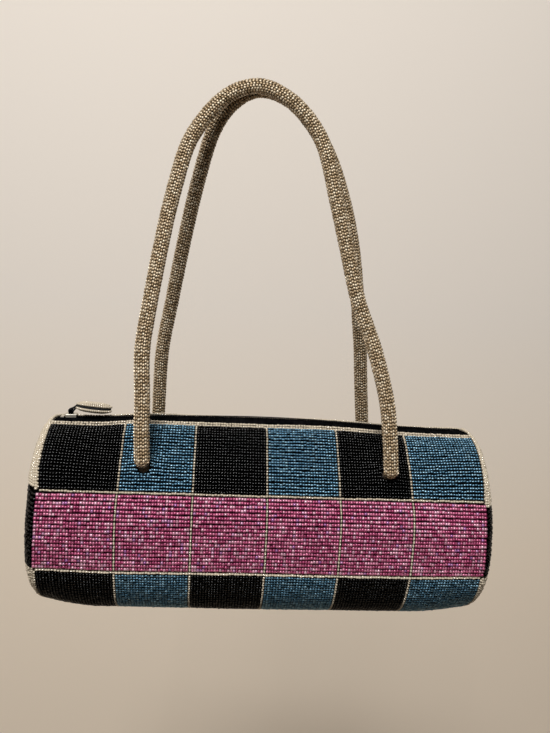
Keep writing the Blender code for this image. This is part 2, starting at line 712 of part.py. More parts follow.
def strap_outline():
    """The strap from the side: an eye round the pin, a rising band, and a tongue inside the pad."""
    outer, inner, half_band = EYE_RADIUS, EYE_BORE_RADIUS, STRAP_THICKNESS / 2
    bend = Vector((STRAP_REACH, PAD_RISE + (PAD_DISTANCE - STRAP_REACH) * tan(PAD_TILT)))
    slope = atan2(bend.y, bend.x)
    fall = Vector((cos(PAD_TILT), -sin(PAD_TILT)))
    tongue = bend + fall * TONGUE_LENGTH
    over_tongue = Vector((sin(PAD_TILT), cos(PAD_TILT))) * half_band
    middle = (slope - PAD_TILT) / 2 + pi / 2
    over_bend = Vector((cos(middle), sin(middle))) * half_band / cos((slope + PAD_TILT) / 2)
    meet = asin(half_band / outer)
    split = slope + 5 * pi / 4
    slit = LAYER_GAP / 2 / outer
    before, after = ROUND_STEPS * 3 // 5, ROUND_STEPS // 5
    first = [slope + meet + (split - slit - slope - meet) * step / before for step in range(before + 1)]
    far_end = slope + 2 * pi - meet
    last = [split + slit + (far_end - split - slit) * step / after for step in range(after + 1)]
    ring = [(outer * cos(a), outer * sin(a)) for a in first]
    ring += [(inner * cos(a), inner * sin(a)) for a in reversed(first)]
    ring += [(inner * cos(a), inner * sin(a)) for a in reversed(last)]
    ring += [(outer * cos(a), outer * sin(a)) for a in last]
    lower = [bend - over_bend, tongue - over_tongue]
    upper = [tongue + over_tongue, bend + over_bend]
    return ring + [tuple(point) for point in lower + upper]


def oval(notch=0):
    """The pad seen from above. A notch at its -X end leaves the strap's tongue its room."""
    length, width = PAD_LENGTH / 2, PAD_WIDTH / 2
    opening = asin(notch / width)
    sweep = 2 * (pi - opening)
    count = OVAL_STEPS if notch else OVAL_STEPS - 1
    points = []
    for step in range(count + 1):
        angle = opening - pi + sweep * step / OVAL_STEPS
        points.append((length * cos(angle), width * sin(angle)))
    return points


def pull(parent):
    """The pull: a black strap on the slider's pin and a pad of two beaded layers on a dark core."""
    strap = extruded(strap_outline(), STRAP_WIDTH, FROM_THE_SIDE)
    add_part("pull_strap", strap, strap_black, parent)
    step = STRAP_THICKNESS / 2 + LAYER_GAP + PAD_LAYER / 2
    room = STRAP_WIDTH / 2 + LAYER_GAP
    tongue_end = STRAP_REACH + TONGUE_LENGTH + LAYER_GAP - PAD_DISTANCE
    core = oval(room) + [(tongue_end, room), (tongue_end, -room)]
    for name, rise, outline, thickness, rounding, look in (
        ("pull_pad_top", step, oval(), PAD_LAYER, PAD_ROUNDING, pale_beads),
        ("pull_pad_core", 0, core, STRAP_THICKNESS, 0, strap_black),
        ("pull_pad_bottom", -step, oval(), PAD_LAYER, PAD_ROUNDING, pale_beads),
    ):
        place = (PAD_DISTANCE + rise * sin(PAD_TILT), 0, PAD_RISE + rise * cos(PAD_TILT))
        add_part(name, extruded(outline, thickness, rounding=rounding), look, parent, place, (0, PAD_TILT, 0))


clear_scene()
parts = new_collection("beaded_barrel_bag")
cutters = new_collection("cutters")

black_beads = new_material("jet_beads", (0.012, 0.012, 0.014), 0.2)
blue_beads = new_material("steel_blue_beads", (0.06, 0.2, 0.34), 0.25, 0.5)
purple_beads = new_material("magenta_beads", (0.32, 0.03, 0.2), 0.2)
pale_beads = new_material("champagne_beads", (0.56, 0.48, 0.36), 0.3, 0.7)
rope_beads = new_material("champagne_rope_beads", (0.55, 0.43, 0.28), 0.32, 0.7)
canvas_cloth = new_material("canvas", (0.03, 0.03, 0.035), 0.9)
foam_sheet = new_material("padding_foam", (0.5, 0.5, 0.48), 0.95)
lining_cloth = new_material("lining", (0.02, 0.02, 0.024), 0.7)
zip_black = new_material("zip_tape_black", (0.012, 0.012, 0.013), 0.8)
coil_black = new_material("zip_coil_black", (0.01, 0.01, 0.011), 0.35)
strap_black = new_material("strap_black", (0.01, 0.01, 0.011), 0.5)
nickel = new_material("pale_metal", (0.66, 0.61, 0.52), 0.3, 1.0)

bag = new_empty("bag_axis", (CROWN_OFFSET, 0, -HANG_HEIGHT))
columns = bead_columns()
zip_trims()
rope_anchors(columns, *inner_layers())
end_caps()
handles()
zip_halves()
zip_stops()
slider_axis = new_empty("slider_axis", (SLIDER_START, 0, 0), bag)
slider(slider_axis)
pull_axis = new_empty("pull_axis", (0, 0, PIN_HEIGHT), slider_axis)
pull(pull_axis)
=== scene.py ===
"""Looks of a beaded barrel shoulder bag: its seed beads, cloth, zip and stuffed rope handles.

Every size is in metres, in the frame's own coordinates. The barrel's surface is described by three
numbers: the distance along it from its middle, the turn round it from the top towards the front,
and the height over the tips of its beads.
"""

from __future__ import annotations

import json
import logging
import math
import zlib
from dataclasses import dataclass, field
from enum import Enum
from typing import Sequence

import bmesh
import bpy
import numpy as np
from mathutils import Matrix, Vector


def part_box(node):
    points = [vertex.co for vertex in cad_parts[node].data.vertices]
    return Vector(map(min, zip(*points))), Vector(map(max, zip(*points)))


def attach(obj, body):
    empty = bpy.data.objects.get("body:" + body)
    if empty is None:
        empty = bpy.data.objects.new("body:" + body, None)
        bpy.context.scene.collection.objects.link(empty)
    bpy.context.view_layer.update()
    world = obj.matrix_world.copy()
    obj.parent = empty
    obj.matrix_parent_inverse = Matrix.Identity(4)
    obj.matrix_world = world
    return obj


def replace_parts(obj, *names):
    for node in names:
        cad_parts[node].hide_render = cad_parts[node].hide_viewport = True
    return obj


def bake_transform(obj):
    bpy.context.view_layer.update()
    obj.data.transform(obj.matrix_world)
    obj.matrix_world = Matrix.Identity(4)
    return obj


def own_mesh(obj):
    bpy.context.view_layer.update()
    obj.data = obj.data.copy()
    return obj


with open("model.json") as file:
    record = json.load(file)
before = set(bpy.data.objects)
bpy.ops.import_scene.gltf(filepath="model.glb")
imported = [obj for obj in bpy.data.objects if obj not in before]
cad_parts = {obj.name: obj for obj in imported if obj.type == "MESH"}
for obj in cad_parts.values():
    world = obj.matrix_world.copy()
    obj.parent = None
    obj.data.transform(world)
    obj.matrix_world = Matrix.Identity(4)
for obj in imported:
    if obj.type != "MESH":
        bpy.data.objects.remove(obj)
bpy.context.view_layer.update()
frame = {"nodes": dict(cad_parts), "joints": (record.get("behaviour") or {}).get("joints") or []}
log = logging.getLogger("bag")

Colour = tuple[float, float, float]
Point = tuple[float, float, float]


def linear(red: int, green: int, blue: int) -> Colour:
    """Scene-linear colour of a display colour given from 0 to 255."""
    shares = (red / 255, green / 255, blue / 255)
    return tuple(s / 12.92 if s <= 0.04045 else ((s + 0.055) / 1.055) ** 2.4 for s in shares)


def dice(name: str) -> np.random.Generator:
    """Random numbers that are the same at every run, for the piece of that name."""
    return np.random.default_rng(zlib.crc32(name.encode()))


def smooth(share: np.ndarray | float) -> np.ndarray | float:
    """A soft step from 0 to 1 over shares from 0 to 1."""
    share = np.clip(share, 0, 1)
    return share * share * (3 - 2 * share)


def unit(vectors: np.ndarray) -> np.ndarray:
    """The vectors, each made one long."""
    return vectors / np.linalg.norm(vectors, axis=1)[:, None]


def travelled(across: np.ndarray, up: np.ndarray) -> np.ndarray:
    """Length of a flat line up to each of its points, from their two coordinates."""
    return np.concatenate([[0], np.cumsum(np.hypot(np.diff(across), np.diff(up)))])


def from_top(turn: np.ndarray) -> np.ndarray:
    """Turns from the top of the barrel, the same on both sides of it."""
    return np.abs((turn + math.pi) % (2 * math.pi) - math.pi)


def uneven(
    size: Sequence[float], count: int, random: np.random.Generator, spread: float, limit: float = 0.15
) -> np.ndarray:
    """Sizes of so many beads, each a little off the given one.

    Args:
        size: a bead's length along its thread, its width and its height.
        count: how many beads.
        random: the source of unevenness.
        spread: the usual share by which a size is off.
        limit: the largest share by which it may be off.

    Returns:
        One row of three sizes for each bead.
    """
    return np.tile(size, (count, 1)) * random.normal(1, spread, (count, 3)).clip(1 - limit, 1 + limit)


def joint(name: str) -> dict:
    """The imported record's joint of that name."""
    return next(entry for entry in frame["joints"] if entry["name"] == name)


class Body(Enum):
    """The bodies that new pieces ride on."""

    BAG = "bag"
    PULL = "pull"
    FRONT_HANDLE = "front_handle"
    BACK_HANDLE = "back_handle"


class Side(Enum):
    """Front or back of the bag, with the sign of Y there."""

    FRONT = -1
    BACK = 1

    @property
    def word(self) -> str:
        """The side's name in lower case."""
        return self.name.lower()


class End(Enum):
    """Left or right end of the bag, with the sign of X there."""

    LEFT = -1
    RIGHT = 1

    @property
    def word(self) -> str:
        """The end's name in lower case."""
        return self.name.lower()

    @property
    def index(self) -> int:
        """The end's place in a pair of values, where the left one comes first."""
        return 0 if self is End.LEFT else 1


# Finishes


class NodeSheet:
    """A material's node tree, with short ways to add and join nodes."""

    def __init__(self, name: str) -> None:
        """Starts a material of that name with its Principled shader."""
        self.material = bpy.data.materials.new(name)
        self.material.use_nodes = True
        self.nodes = self.material.node_tree.nodes
        self.shader = self.nodes["Principled BSDF"]

    def add(self, kind: str, **settings: object) -> bpy.types.Node:
        """Adds a node of that kind and sets the named properties on it.

        Args:
            kind: the node's type name.
            settings: properties of the node, by name.

        Returns:
            The new node.
        """
        node = self.nodes.new(kind)
        for key, value in settings.items():
            setattr(node, key, value)
        return node

    def join(self, output: bpy.types.NodeSocket, target: bpy.types.NodeSocket) -> None:
        """Links an output to an input."""
        self.material.node_tree.links.new(output, target)

    def fix(self, **values: object) -> None:
        """Sets constants on the shader's own sockets, by their names with underscores for spaces."""
        for key, value in values.items():
            self.shader.inputs[key.replace("_", " ")].default_value = value

    def ramp(self, stops: Sequence[tuple[float, Colour]], factor: bpy.types.NodeSocket) -> bpy.types.Node:
        """Adds a colour ramp driven by a socket.

        Args:
            stops: places from 0 to 1 with their linear colours.
            factor: the output that drives the ramp.

        Returns:
            The ramp node.
        """
        node = self.add("ShaderNodeValToRGB")
        elements = node.color_ramp.elements
        while len(elements) < len(stops):
            elements.new(0.5)
        for element, (place, colour) in zip(elements, stops):
            element.position = place
            element.color = (*colour, 1.0)
        self.join(factor, node.inputs["Fac"])
        return node

    def paint(self, stops: Sequence[tuple[float, Colour]], factor: bpy.types.NodeSocket) -> None:
        """Colours the surface by a colour ramp driven by a socket."""
        self.join(self.ramp(stops, factor).outputs["Color"], self.shader.inputs["Base Color"])

    def on_object(self, kind: str, scale: float, **settings: object) -> bpy.types.Node:
        """Adds a texture node of that scale that reads object coordinates."""
        node = self.add(kind, **settings)
        node.inputs["Scale"].default_value = scale
        self.join(self.add("ShaderNodeTexCoord").outputs["Object"], node.inputs["Vector"])
        return node

    def bump(self, height: bpy.types.NodeSocket, depth: float, strength: float) -> None:
        """Raises the surface by a height signal, to a depth in metres."""
        node = self.add("ShaderNodeBump")
        node.inputs["Distance"].default_value = depth
        node.inputs["Strength"].default_value = strength
        self.join(height, node.inputs["Height"])
        self.join(node.outputs["Normal"], self.shader.inputs["Normal"])


@dataclass(frozen=True)
class Finish:
    """What a piece is made of, and the record's material slot that it belongs to."""

    name: str
    slot: str

    def material(self) -> bpy.types.Material:
        """The finish as a material, made the first time that a piece asks for it."""
        found = bpy.data.materials.get(self.name)
        if found:
            return found
        sheet = NodeSheet(self.name)
        self.draw(sheet)
        return sheet.material

    def draw(self, sheet: NodeSheet) -> None:
        """Adds the finish's own nodes to its sheet."""
        raise NotImplementedError


@dataclass(frozen=True)
class BeadFinish(Finish):
    """Glass seed beads whose colour changes a little from bead to bead, with painted shade between the rows.

    Attributes:
        tints: the colours that single beads take, with their places from 0 to 1.
        crevice: share of the colour and gloss that is left deep between the rows, where shade is painted.
        gleam: how far a painted highlight on a bead is drawn together to a dot at its middle, by darkening
            towards its ends.
    """

    tints: tuple[tuple[float, Colour], ...]
    roughness: float
    metallic: float = 0.0
    coat: float = 0.0
    coat_roughness: float = 0.25
    specular: float = 0.5
    crevice: float = 0.0
    gleam: float = 0.0

    def draw(self, sheet: NodeSheet) -> None:
        """Reads each bead's own tint and the painted light at each point of it, which darkens colour and gloss
        as painted shade between the rows.
        """
        tint = sheet.add("ShaderNodeAttribute", attribute_name="tint")
        ramp = sheet.ramp(self.tints, tint.outputs["Fac"])
        openness = sheet.add("ShaderNodeAttribute", attribute_name="openness")
        # Painted shade: the colour is scaled down where the painted light is low, to the painted shade floor
        # deep between the rows.
        lit = sheet.add("ShaderNodeMapRange")
        lit.inputs["To Min"].default_value = self.crevice
        sheet.join(openness.outputs["Fac"], lit.inputs["Value"])
        shade = sheet.add("ShaderNodeVectorMath", operation="SCALE")
        sheet.join(ramp.outputs["Color"], shade.inputs[0])
        sheet.join(lit.outputs["Result"], shade.inputs["Scale"])
        sheet.join(shade.outputs["Vector"], sheet.shader.inputs["Base Color"])
        # Painted shade on the gloss: the specular level and coat follow the same painted light, lower between
        # the rows.
        for socket, amount in (("Specular IOR Level", self.specular), ("Coat Weight", self.coat)):
            gloss = sheet.add("ShaderNodeMath", operation="MULTIPLY")
            gloss.inputs[1].default_value = amount
            sheet.join(lit.outputs["Result"], gloss.inputs[0])
            sheet.join(gloss.outputs["Value"], sheet.shader.inputs[socket])
        sheet.fix(Roughness=self.roughness, Metallic=self.metallic, Coat_Roughness=self.coat_roughness)


@dataclass(frozen=True)
class ClothFinish(Finish):
    """Woven cloth: crossing threads in relief, with a faint mottle in the colour."""

    colour: Colour
    thread: float = 0.0005
    roughness: float = 0.85
    depth: float = 0.00015
    sheen: float = 0.2
    gloss: float = 0.5
    mottle_scale: float = 160.0

    def draw(self, sheet: NodeSheet) -> None:
        """Crosses two sets of threads and mottles the colour."""
        weave = sheet.add("ShaderNodeMath", operation="MULTIPLY")
        for socket, direction in zip(weave.inputs, ("X", "Z")):
            scale = 0.5 / self.thread
            wave = sheet.on_object("ShaderNodeTexWave", scale, wave_type="BANDS", bands_direction=direction)
            sheet.join(wave.outputs["Fac"], socket)
        sheet.bump(weave.outputs["Value"], self.depth, 0.6)
        mottle = sheet.on_object("ShaderNodeTexNoise", self.mottle_scale)
        dark = tuple(c * 0.7 for c in self.colour)
        light = tuple(min(1.0, c * 1.3 + 0.002) for c in self.colour)
        sheet.paint(((0.3, dark), (0.7, light)), mottle.outputs["Fac"])
        sheet.fix(Roughness=self.roughness, Sheen_Weight=self.sheen, Specular_IOR_Level=self.gloss)


@dataclass(frozen=True)
class MetalFinish(Finish):
    """Plated metal with a fine brushed relief and slightly uneven polish."""

    colour: Colour
    roughness: float = 0.28
    brushing_scale: float = 900.0

    def draw(self, sheet: NodeSheet) -> None:
        """Lets one fine noise change the polish, the colour and the relief."""
        noise = sheet.on_object("ShaderNodeTexNoise", self.brushing_scale)
        polish = sheet.add("ShaderNodeMapRange")
        polish.inputs["To Min"].default_value = self.roughness - 0.08
        polish.inputs["To Max"].default_value = self.roughness + 0.12
        sheet.join(noise.outputs["Fac"], polish.inputs["Value"])
        sheet.join(polish.outputs["Result"], sheet.shader.inputs["Roughness"])
        worn = tuple(c * 0.72 for c in self.colour)
        sheet.paint(((0.35, worn), (0.6, self.colour)), noise.outputs["Fac"])
        sheet.bump(noise.outputs["Fac"], 0.00004, 0.3)
        sheet.fix(Metallic=1.0)


@dataclass(frozen=True)
class NylonFinish(Finish):
    """Moulded nylon with a satin surface."""

    colour: Colour
    roughness: float = 0.6
    gloss: float = 0.06
    grain_scale: float = 700.0

    def draw(self, sheet: NodeSheet) -> None:
        """Lets one fine noise change the colour and the relief."""
        noise = sheet.on_object("ShaderNodeTexNoise", self.grain_scale)
        dark = tuple(c * 0.6 for c in self.colour)
        sheet.paint(((0.3, dark), (0.7, self.colour)), noise.outputs["Fac"])
        sheet.bump(noise.outputs["Fac"], 0.00003, 0.3)
        sheet.fix(Roughness=self.roughness, Specular_IOR_Level=self.gloss)


# Every bead finish darkens its beads' sides and undersides towards a painted shade floor, painted shade
# between the rows; JET and CHAMPAGNE also draw a painted highlight to each bead's middle.
JET = BeadFinish(
    "jet_beads",
    "black_beads",
    ((0.0, linear(1, 1, 1)), (0.8, linear(2, 2, 2)), (1.0, linear(14, 13, 13))),
    roughness=0.28,
    specular=0.8,
    gleam=0.95,
)
STEEL_BLUE = BeadFinish(
    "steel_blue_beads",
    "blue_beads",
    ((0.0, linear(84, 130, 156)), (0.6, linear(112, 160, 188)), (1.0, linear(154, 198, 220))),
    roughness=0.36,
    metallic=0.7,
    coat=0.4,
)
MAGENTA = BeadFinish(
    "magenta_beads",
    "purple_beads",
    (
        (0.0, linear(170, 62, 106)),
        (0.4, linear(202, 96, 136)),
        (0.7, linear(226, 136, 168)),
        (0.92, linear(244, 184, 204)),
        (1.0, linear(176, 104, 172)),
    ),
    roughness=0.34,
    metallic=0.4,
    coat=0.6,
    crevice=0.26,
)
CHAMPAGNE = BeadFinish(
    "champagne_beads",
    "champagne_beads",
    ((0.0, linear(92, 74, 50)), (0.5, linear(180, 161, 130)), (1.0, linear(246, 234, 212))),
    roughness=0.34,
    metallic=0.6,
    coat=0.3,
    crevice=0.03,
    gleam=0.5,
)
ROPE_GOLD = BeadFinish(
    "rope_gold_beads",
    "rope_beads",
    ((0.0, linear(158, 133, 98)), (0.5, linear(204, 178, 142)), (1.0, linear(236, 219, 190))),
    roughness=0.44,
    metallic=0.4,
    coat=0.25,
    crevice=0.5,
)
BACKING = ClothFinish("backing_cloth", "canvas", linear(4, 4, 4), sheen=0.0, gloss=0.0)
COTTON = ClothFinish("cotton_core", "rope_beads", linear(92, 76, 56), thread=0.0006)
SATIN = ClothFinish("lining_satin", "lining", linear(30, 28, 31), thread=0.0004, roughness=0.45, sheen=0.0)
TAPE = ClothFinish(
    "zip_tape_cloth", "zip_tape", linear(8, 8, 9), thread=0.0007, depth=0.0002, sheen=0.0, gloss=0.0
)
STRAP = ClothFinish(
    "strap_cloth", "strap", linear(12, 11, 13), thread=0.0006, depth=0.0002, sheen=0.1, gloss=0.2
)
NYLON = NylonFinish("coil_nylon", "zip_coil", linear(13, 12, 14))
PALE_METAL = MetalFinish("pale_metal", "pale_metal", linear(206, 192, 168))
BLACK_METAL = MetalFinish("black_enamel", "pale_metal", linear(14, 13, 14))


# Pieces


def link(piece: bpy.types.Object) -> bpy.types.Object:
    """Puts an object in the scene and returns it."""
    bpy.context.scene.collection.objects.link(piece)
    return piece


def dress(piece: bpy.types.Object, finish: Finish, body: Body | None = Body.BAG) -> bpy.types.Object:
    """Gives a piece its finish and the body that it rides on.

    Args:
        piece: the object, its mesh already in place.
        finish: what it is made of.
        body: what carries it, or None for a piece with no body.

    Returns:
        The same object.
    """
    piece.data.materials.clear()
    piece.data.materials.append(finish.material())
    if body:
        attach(piece, body.value)
    return piece


def repaint(node: str, *finishes: Finish) -> bpy.types.Object:
    """Gives a CAD node that stays the materials of some finishes, and returns it."""
    piece = frame["nodes"][node]
    piece.data.materials.clear()
    for finish in finishes:
        piece.data.materials.append(finish.material())
    return piece


def mesh_piece(name: str, form: bmesh.types.BMesh, rounded: bool = True) -> bpy.types.Object:
    """Makes an object of a bmesh that is modelled in place, and frees the bmesh.

    Args:
        name: the object's name.
        form: the finished bmesh.
        rounded: whether its faces are shaded smooth.

    Returns:
        The object, linked into the scene.
    """
    mesh = bpy.data.meshes.new(name)
    for face in form.faces:
        face.smooth = rounded
    form.to_mesh(mesh)
    form.free()
    return link(bpy.data.objects.new(name, mesh))


def solidify(piece: bpy.types.Object, thickness: float, offset: float) -> None:
    """Gives a sheet its thickness: offset -1 puts it all behind the faces and 0 half on each side."""
    wall = piece.modifiers.new("wall", "SOLIDIFY")
    wall.thickness = thickness
    wall.offset = offset


def strip(path: Sequence[Sequence[float]], sweep: Point) -> bmesh.types.BMesh:
    """A strip of faces, made by sweeping a line of points sideways.

    Args:
        path: the points of the line.
        sweep: how far and which way the line is swept.

    Returns:
        The strip as a bmesh.
    """
    form = bmesh.new()
    line = [form.verts.new(tuple(point)) for point in path]
    edges = [form.edges.new(pair) for pair in zip(line, line[1:])]
    grown = bmesh.ops.extrude_edge_only(form, edges=edges)["geom"]
    moved = [item for item in grown if isinstance(item, bmesh.types.BMVert)]
    bmesh.ops.translate(form, verts=moved, vec=sweep)
    bmesh.ops.recalc_face_normals(form, faces=form.faces)
    return form


def move_to(form: bmesh.types.BMesh, points: np.ndarray) -> None:
    """Moves each point of a form to its own new place."""
    for vertex, point in zip(form.verts, points):
        vertex.co = point


def curve_tube(name: str, line: np.ndarray, radius: float, sides: int) -> bpy.types.Object:
    """A closed tube along a line of points, as a mesh.

    Args:
        name: the object's name.
        line: points in the frame's coordinates.
        radius: the tube's radius.
        sides: bevel resolution of the curve.

    Returns:
        The tube, linked into the scene.
    """
    curve = bpy.data.curves.new(name, "CURVE")
    curve.dimensions = "3D"
    curve.bevel_depth = radius
    curve.bevel_resolution = sides
    curve.use_fill_caps = True
    spline = curve.splines.new("POLY")
    spline.points.add(len(line) - 1)
    spline.points.foreach_set("co", np.c_[line, np.ones(len(line))].ravel())
    source = link(bpy.data.objects.new(name + "_line", curve))
    bpy.context.view_layer.update()
    mesh = bpy.data.meshes.new_from_object(source.evaluated_get(bpy.context.evaluated_depsgraph_get()))
    bpy.data.objects.remove(source, do_unlink=True)
    form = bmesh.new()
    form.from_mesh(mesh)
    bmesh.ops.remove_doubles(form, verts=form.verts, dist=radius / 50)
    bmesh.ops.recalc_face_normals(form, faces=form.faces)
    return mesh_piece(name, form)


# Beads


@dataclass
class BeadRun:
    """Where a run of beads lies: one row of each array for each bead.

    Attributes:
        centres: middle of each bead.
        threads: unit vectors along each bead's hole.
        outwards: unit vectors away from what the beads are sewn to, square to the threads.
        sizes: each bead's length along the thread, width across it and height.
        tints: place of each bead's colour in its finish, from 0 to 1.
    """

    centres: np.ndarray
    threads: np.ndarray
    outwards: np.ndarray
    sizes: np.ndarray
    tints: np.ndarray

    @staticmethod
    def joined(runs: Sequence["BeadRun"]) -> "BeadRun":
        """All the beads of several runs as one."""
        names = ("centres", "threads", "outwards", "sizes", "tints")
        return BeadRun(*(np.concatenate([getattr(run, name) for run in runs]) for name in names))


@dataclass
class BeadBox:
    """A store of seed beads, which sews runs of them into single meshes.

    Attributes:
        ring: distance from the middle of a unit bead to where its end begins.
        blunt_ring: the same on a bead of two rings.
        square: share of its own square of the UV map that a bead takes up.
        strings: the strings that are made, by their number of beads and of rings.
    """

    ring: float = 0.4
    blunt_ring: float = 0.44
    square: float = 0.84
    strings: dict[tuple[int, int], bpy.types.Mesh] = field(default_factory=dict)

    def bead(self, rings: int) -> bpy.types.Mesh:
        """One bead of unit size with its hole along X, from a coarse sphere made barrel-shaped.

        Args:
            rings: rings of points round the bead. Beads of two rings are blunt, so that they read as
                one thread side by side.

        Returns:
            The bead's mesh.
        """
        reach = self.ring if rings > 2 else self.blunt_ring
        form = bmesh.new()
        form.loops.layers.uv.new("OFBake")
        bmesh.ops.create_uvsphere(form, u_segments=8, v_segments=rings + 1, radius=0.5, calc_uvs=True)
        bmesh.ops.rotate(form, verts=form.verts, matrix=Matrix.Rotation(math.pi / 2, 3, "Y"))
        for vertex in form.verts:
            if abs(vertex.co.x) < self.ring:
                around = Vector((vertex.co.y, vertex.co.z)).normalized() * 0.5
                end = math.copysign(reach, vertex.co.x) if abs(vertex.co.x) > 0.01 else 0.0
                vertex.co = (end, around.x, around.y)
        for face in form.faces:
            face.smooth = rings > 2 or len(face.verts) == 4
        mesh = bpy.data.meshes.new("bead")
        form.to_mesh(mesh)
        form.free()
        return mesh

    def string(self, count: int, rings: int) -> bpy.types.Mesh:
        """So many unit beads in one mesh, one on the other.

        Args:
            count: how many beads.
            rings: rings of points round each bead.

        Returns:
            A mesh of its own, ready to be laid out.
        """
        if (count, rings) not in self.strings:
            source = link(bpy.data.objects.new("bead_source", self.bead(rings)))
            array = source.modifiers.new("count", "ARRAY")
            array.count = count
            array.use_relative_offset = False
            bpy.context.view_layer.update()
            graph = bpy.context.evaluated_depsgraph_get()
            self.strings[count, rings] = bpy.data.meshes.new_from_object(source.evaluated_get(graph))
            bpy.data.objects.remove(source, do_unlink=True)
        return self.strings[count, rings].copy()

    def sew(
        self, name: str, run: BeadRun, finish: BeadFinish, body: Body | None = Body.BAG
    ) -> bpy.types.Object:
        """Lays a run of beads out as one piece.

        Args:
            name: the piece's name.
            run: where the beads lie.
            finish: what they are made of.
            body: what carries them, or None for beads with no body.

        Returns:
            The piece.
        """
        count = len(run.centres)
        mesh = self.string(count, 3 if finish.gleam else 2)
        mesh.name = name
        each = len(mesh.vertices) // count
        shape = np.empty(len(mesh.vertices) * 3, dtype=np.float32)
        mesh.vertices.foreach_get("co", shape)
        shape = shape.reshape(count, each, 3)
        across = np.cross(run.outwards, run.threads)
        places = run.centres[:, None, :].astype(float)
        for index, axis in enumerate((run.threads, across, run.outwards)):
            places = places + shape[:, :, index, None] * (axis * run.sizes[:, index, None])[:, None, :]
        mesh.vertices.foreach_set("co", places.ravel().astype(np.float32))
        tint = mesh.attributes.new("tint", "FLOAT", "POINT")
        tint.data.foreach_set("value", np.repeat(run.tints, each).astype(np.float32))
        openness = mesh.attributes.new("openness", "FLOAT", "POINT")
        # Painted shade: darker from a bead's top towards its sides and underside, where shade falls between
        # the rows.
        outer = np.clip(shape[:, :, 2] / 0.5, 0, 1) ** 2
        # Painted highlight: darker towards a bead's ends, so that its light draws to a dot at its middle.
        middle = 1 - finish.gleam * np.clip(np.abs(shape[:, :, 0]) / self.ring, 0, 1)
        openness.data.foreach_set("value", (outer * middle).ravel())
        self.spread(mesh, count)
        mesh.update()
        piece = link(bpy.data.objects.new(name, mesh))
        log.info("%s: %d beads", name, count)
        return dress(piece, finish, body)

    def spread(self, mesh: bpy.types.Mesh, count: int) -> None:
        """Gives each bead of a string its own square of the mesh's UV map."""
        layer = mesh.uv_layers["OFBake"]
        corners = np.empty(len(mesh.loops) * 2, dtype=np.float32)
        layer.data.foreach_get("uv", corners)
        corners = corners.reshape(count, -1, 2)
        side = math.ceil(math.sqrt(count))
        cells = np.stack([np.arange(count) % side, np.arange(count) // side], axis=1)
        corners = (cells[:, None, :] + (1 - self.square) / 2 + self.square * corners) / side
        layer.data.foreach_set("uv", corners.ravel().astype(np.float32))


# The barrel


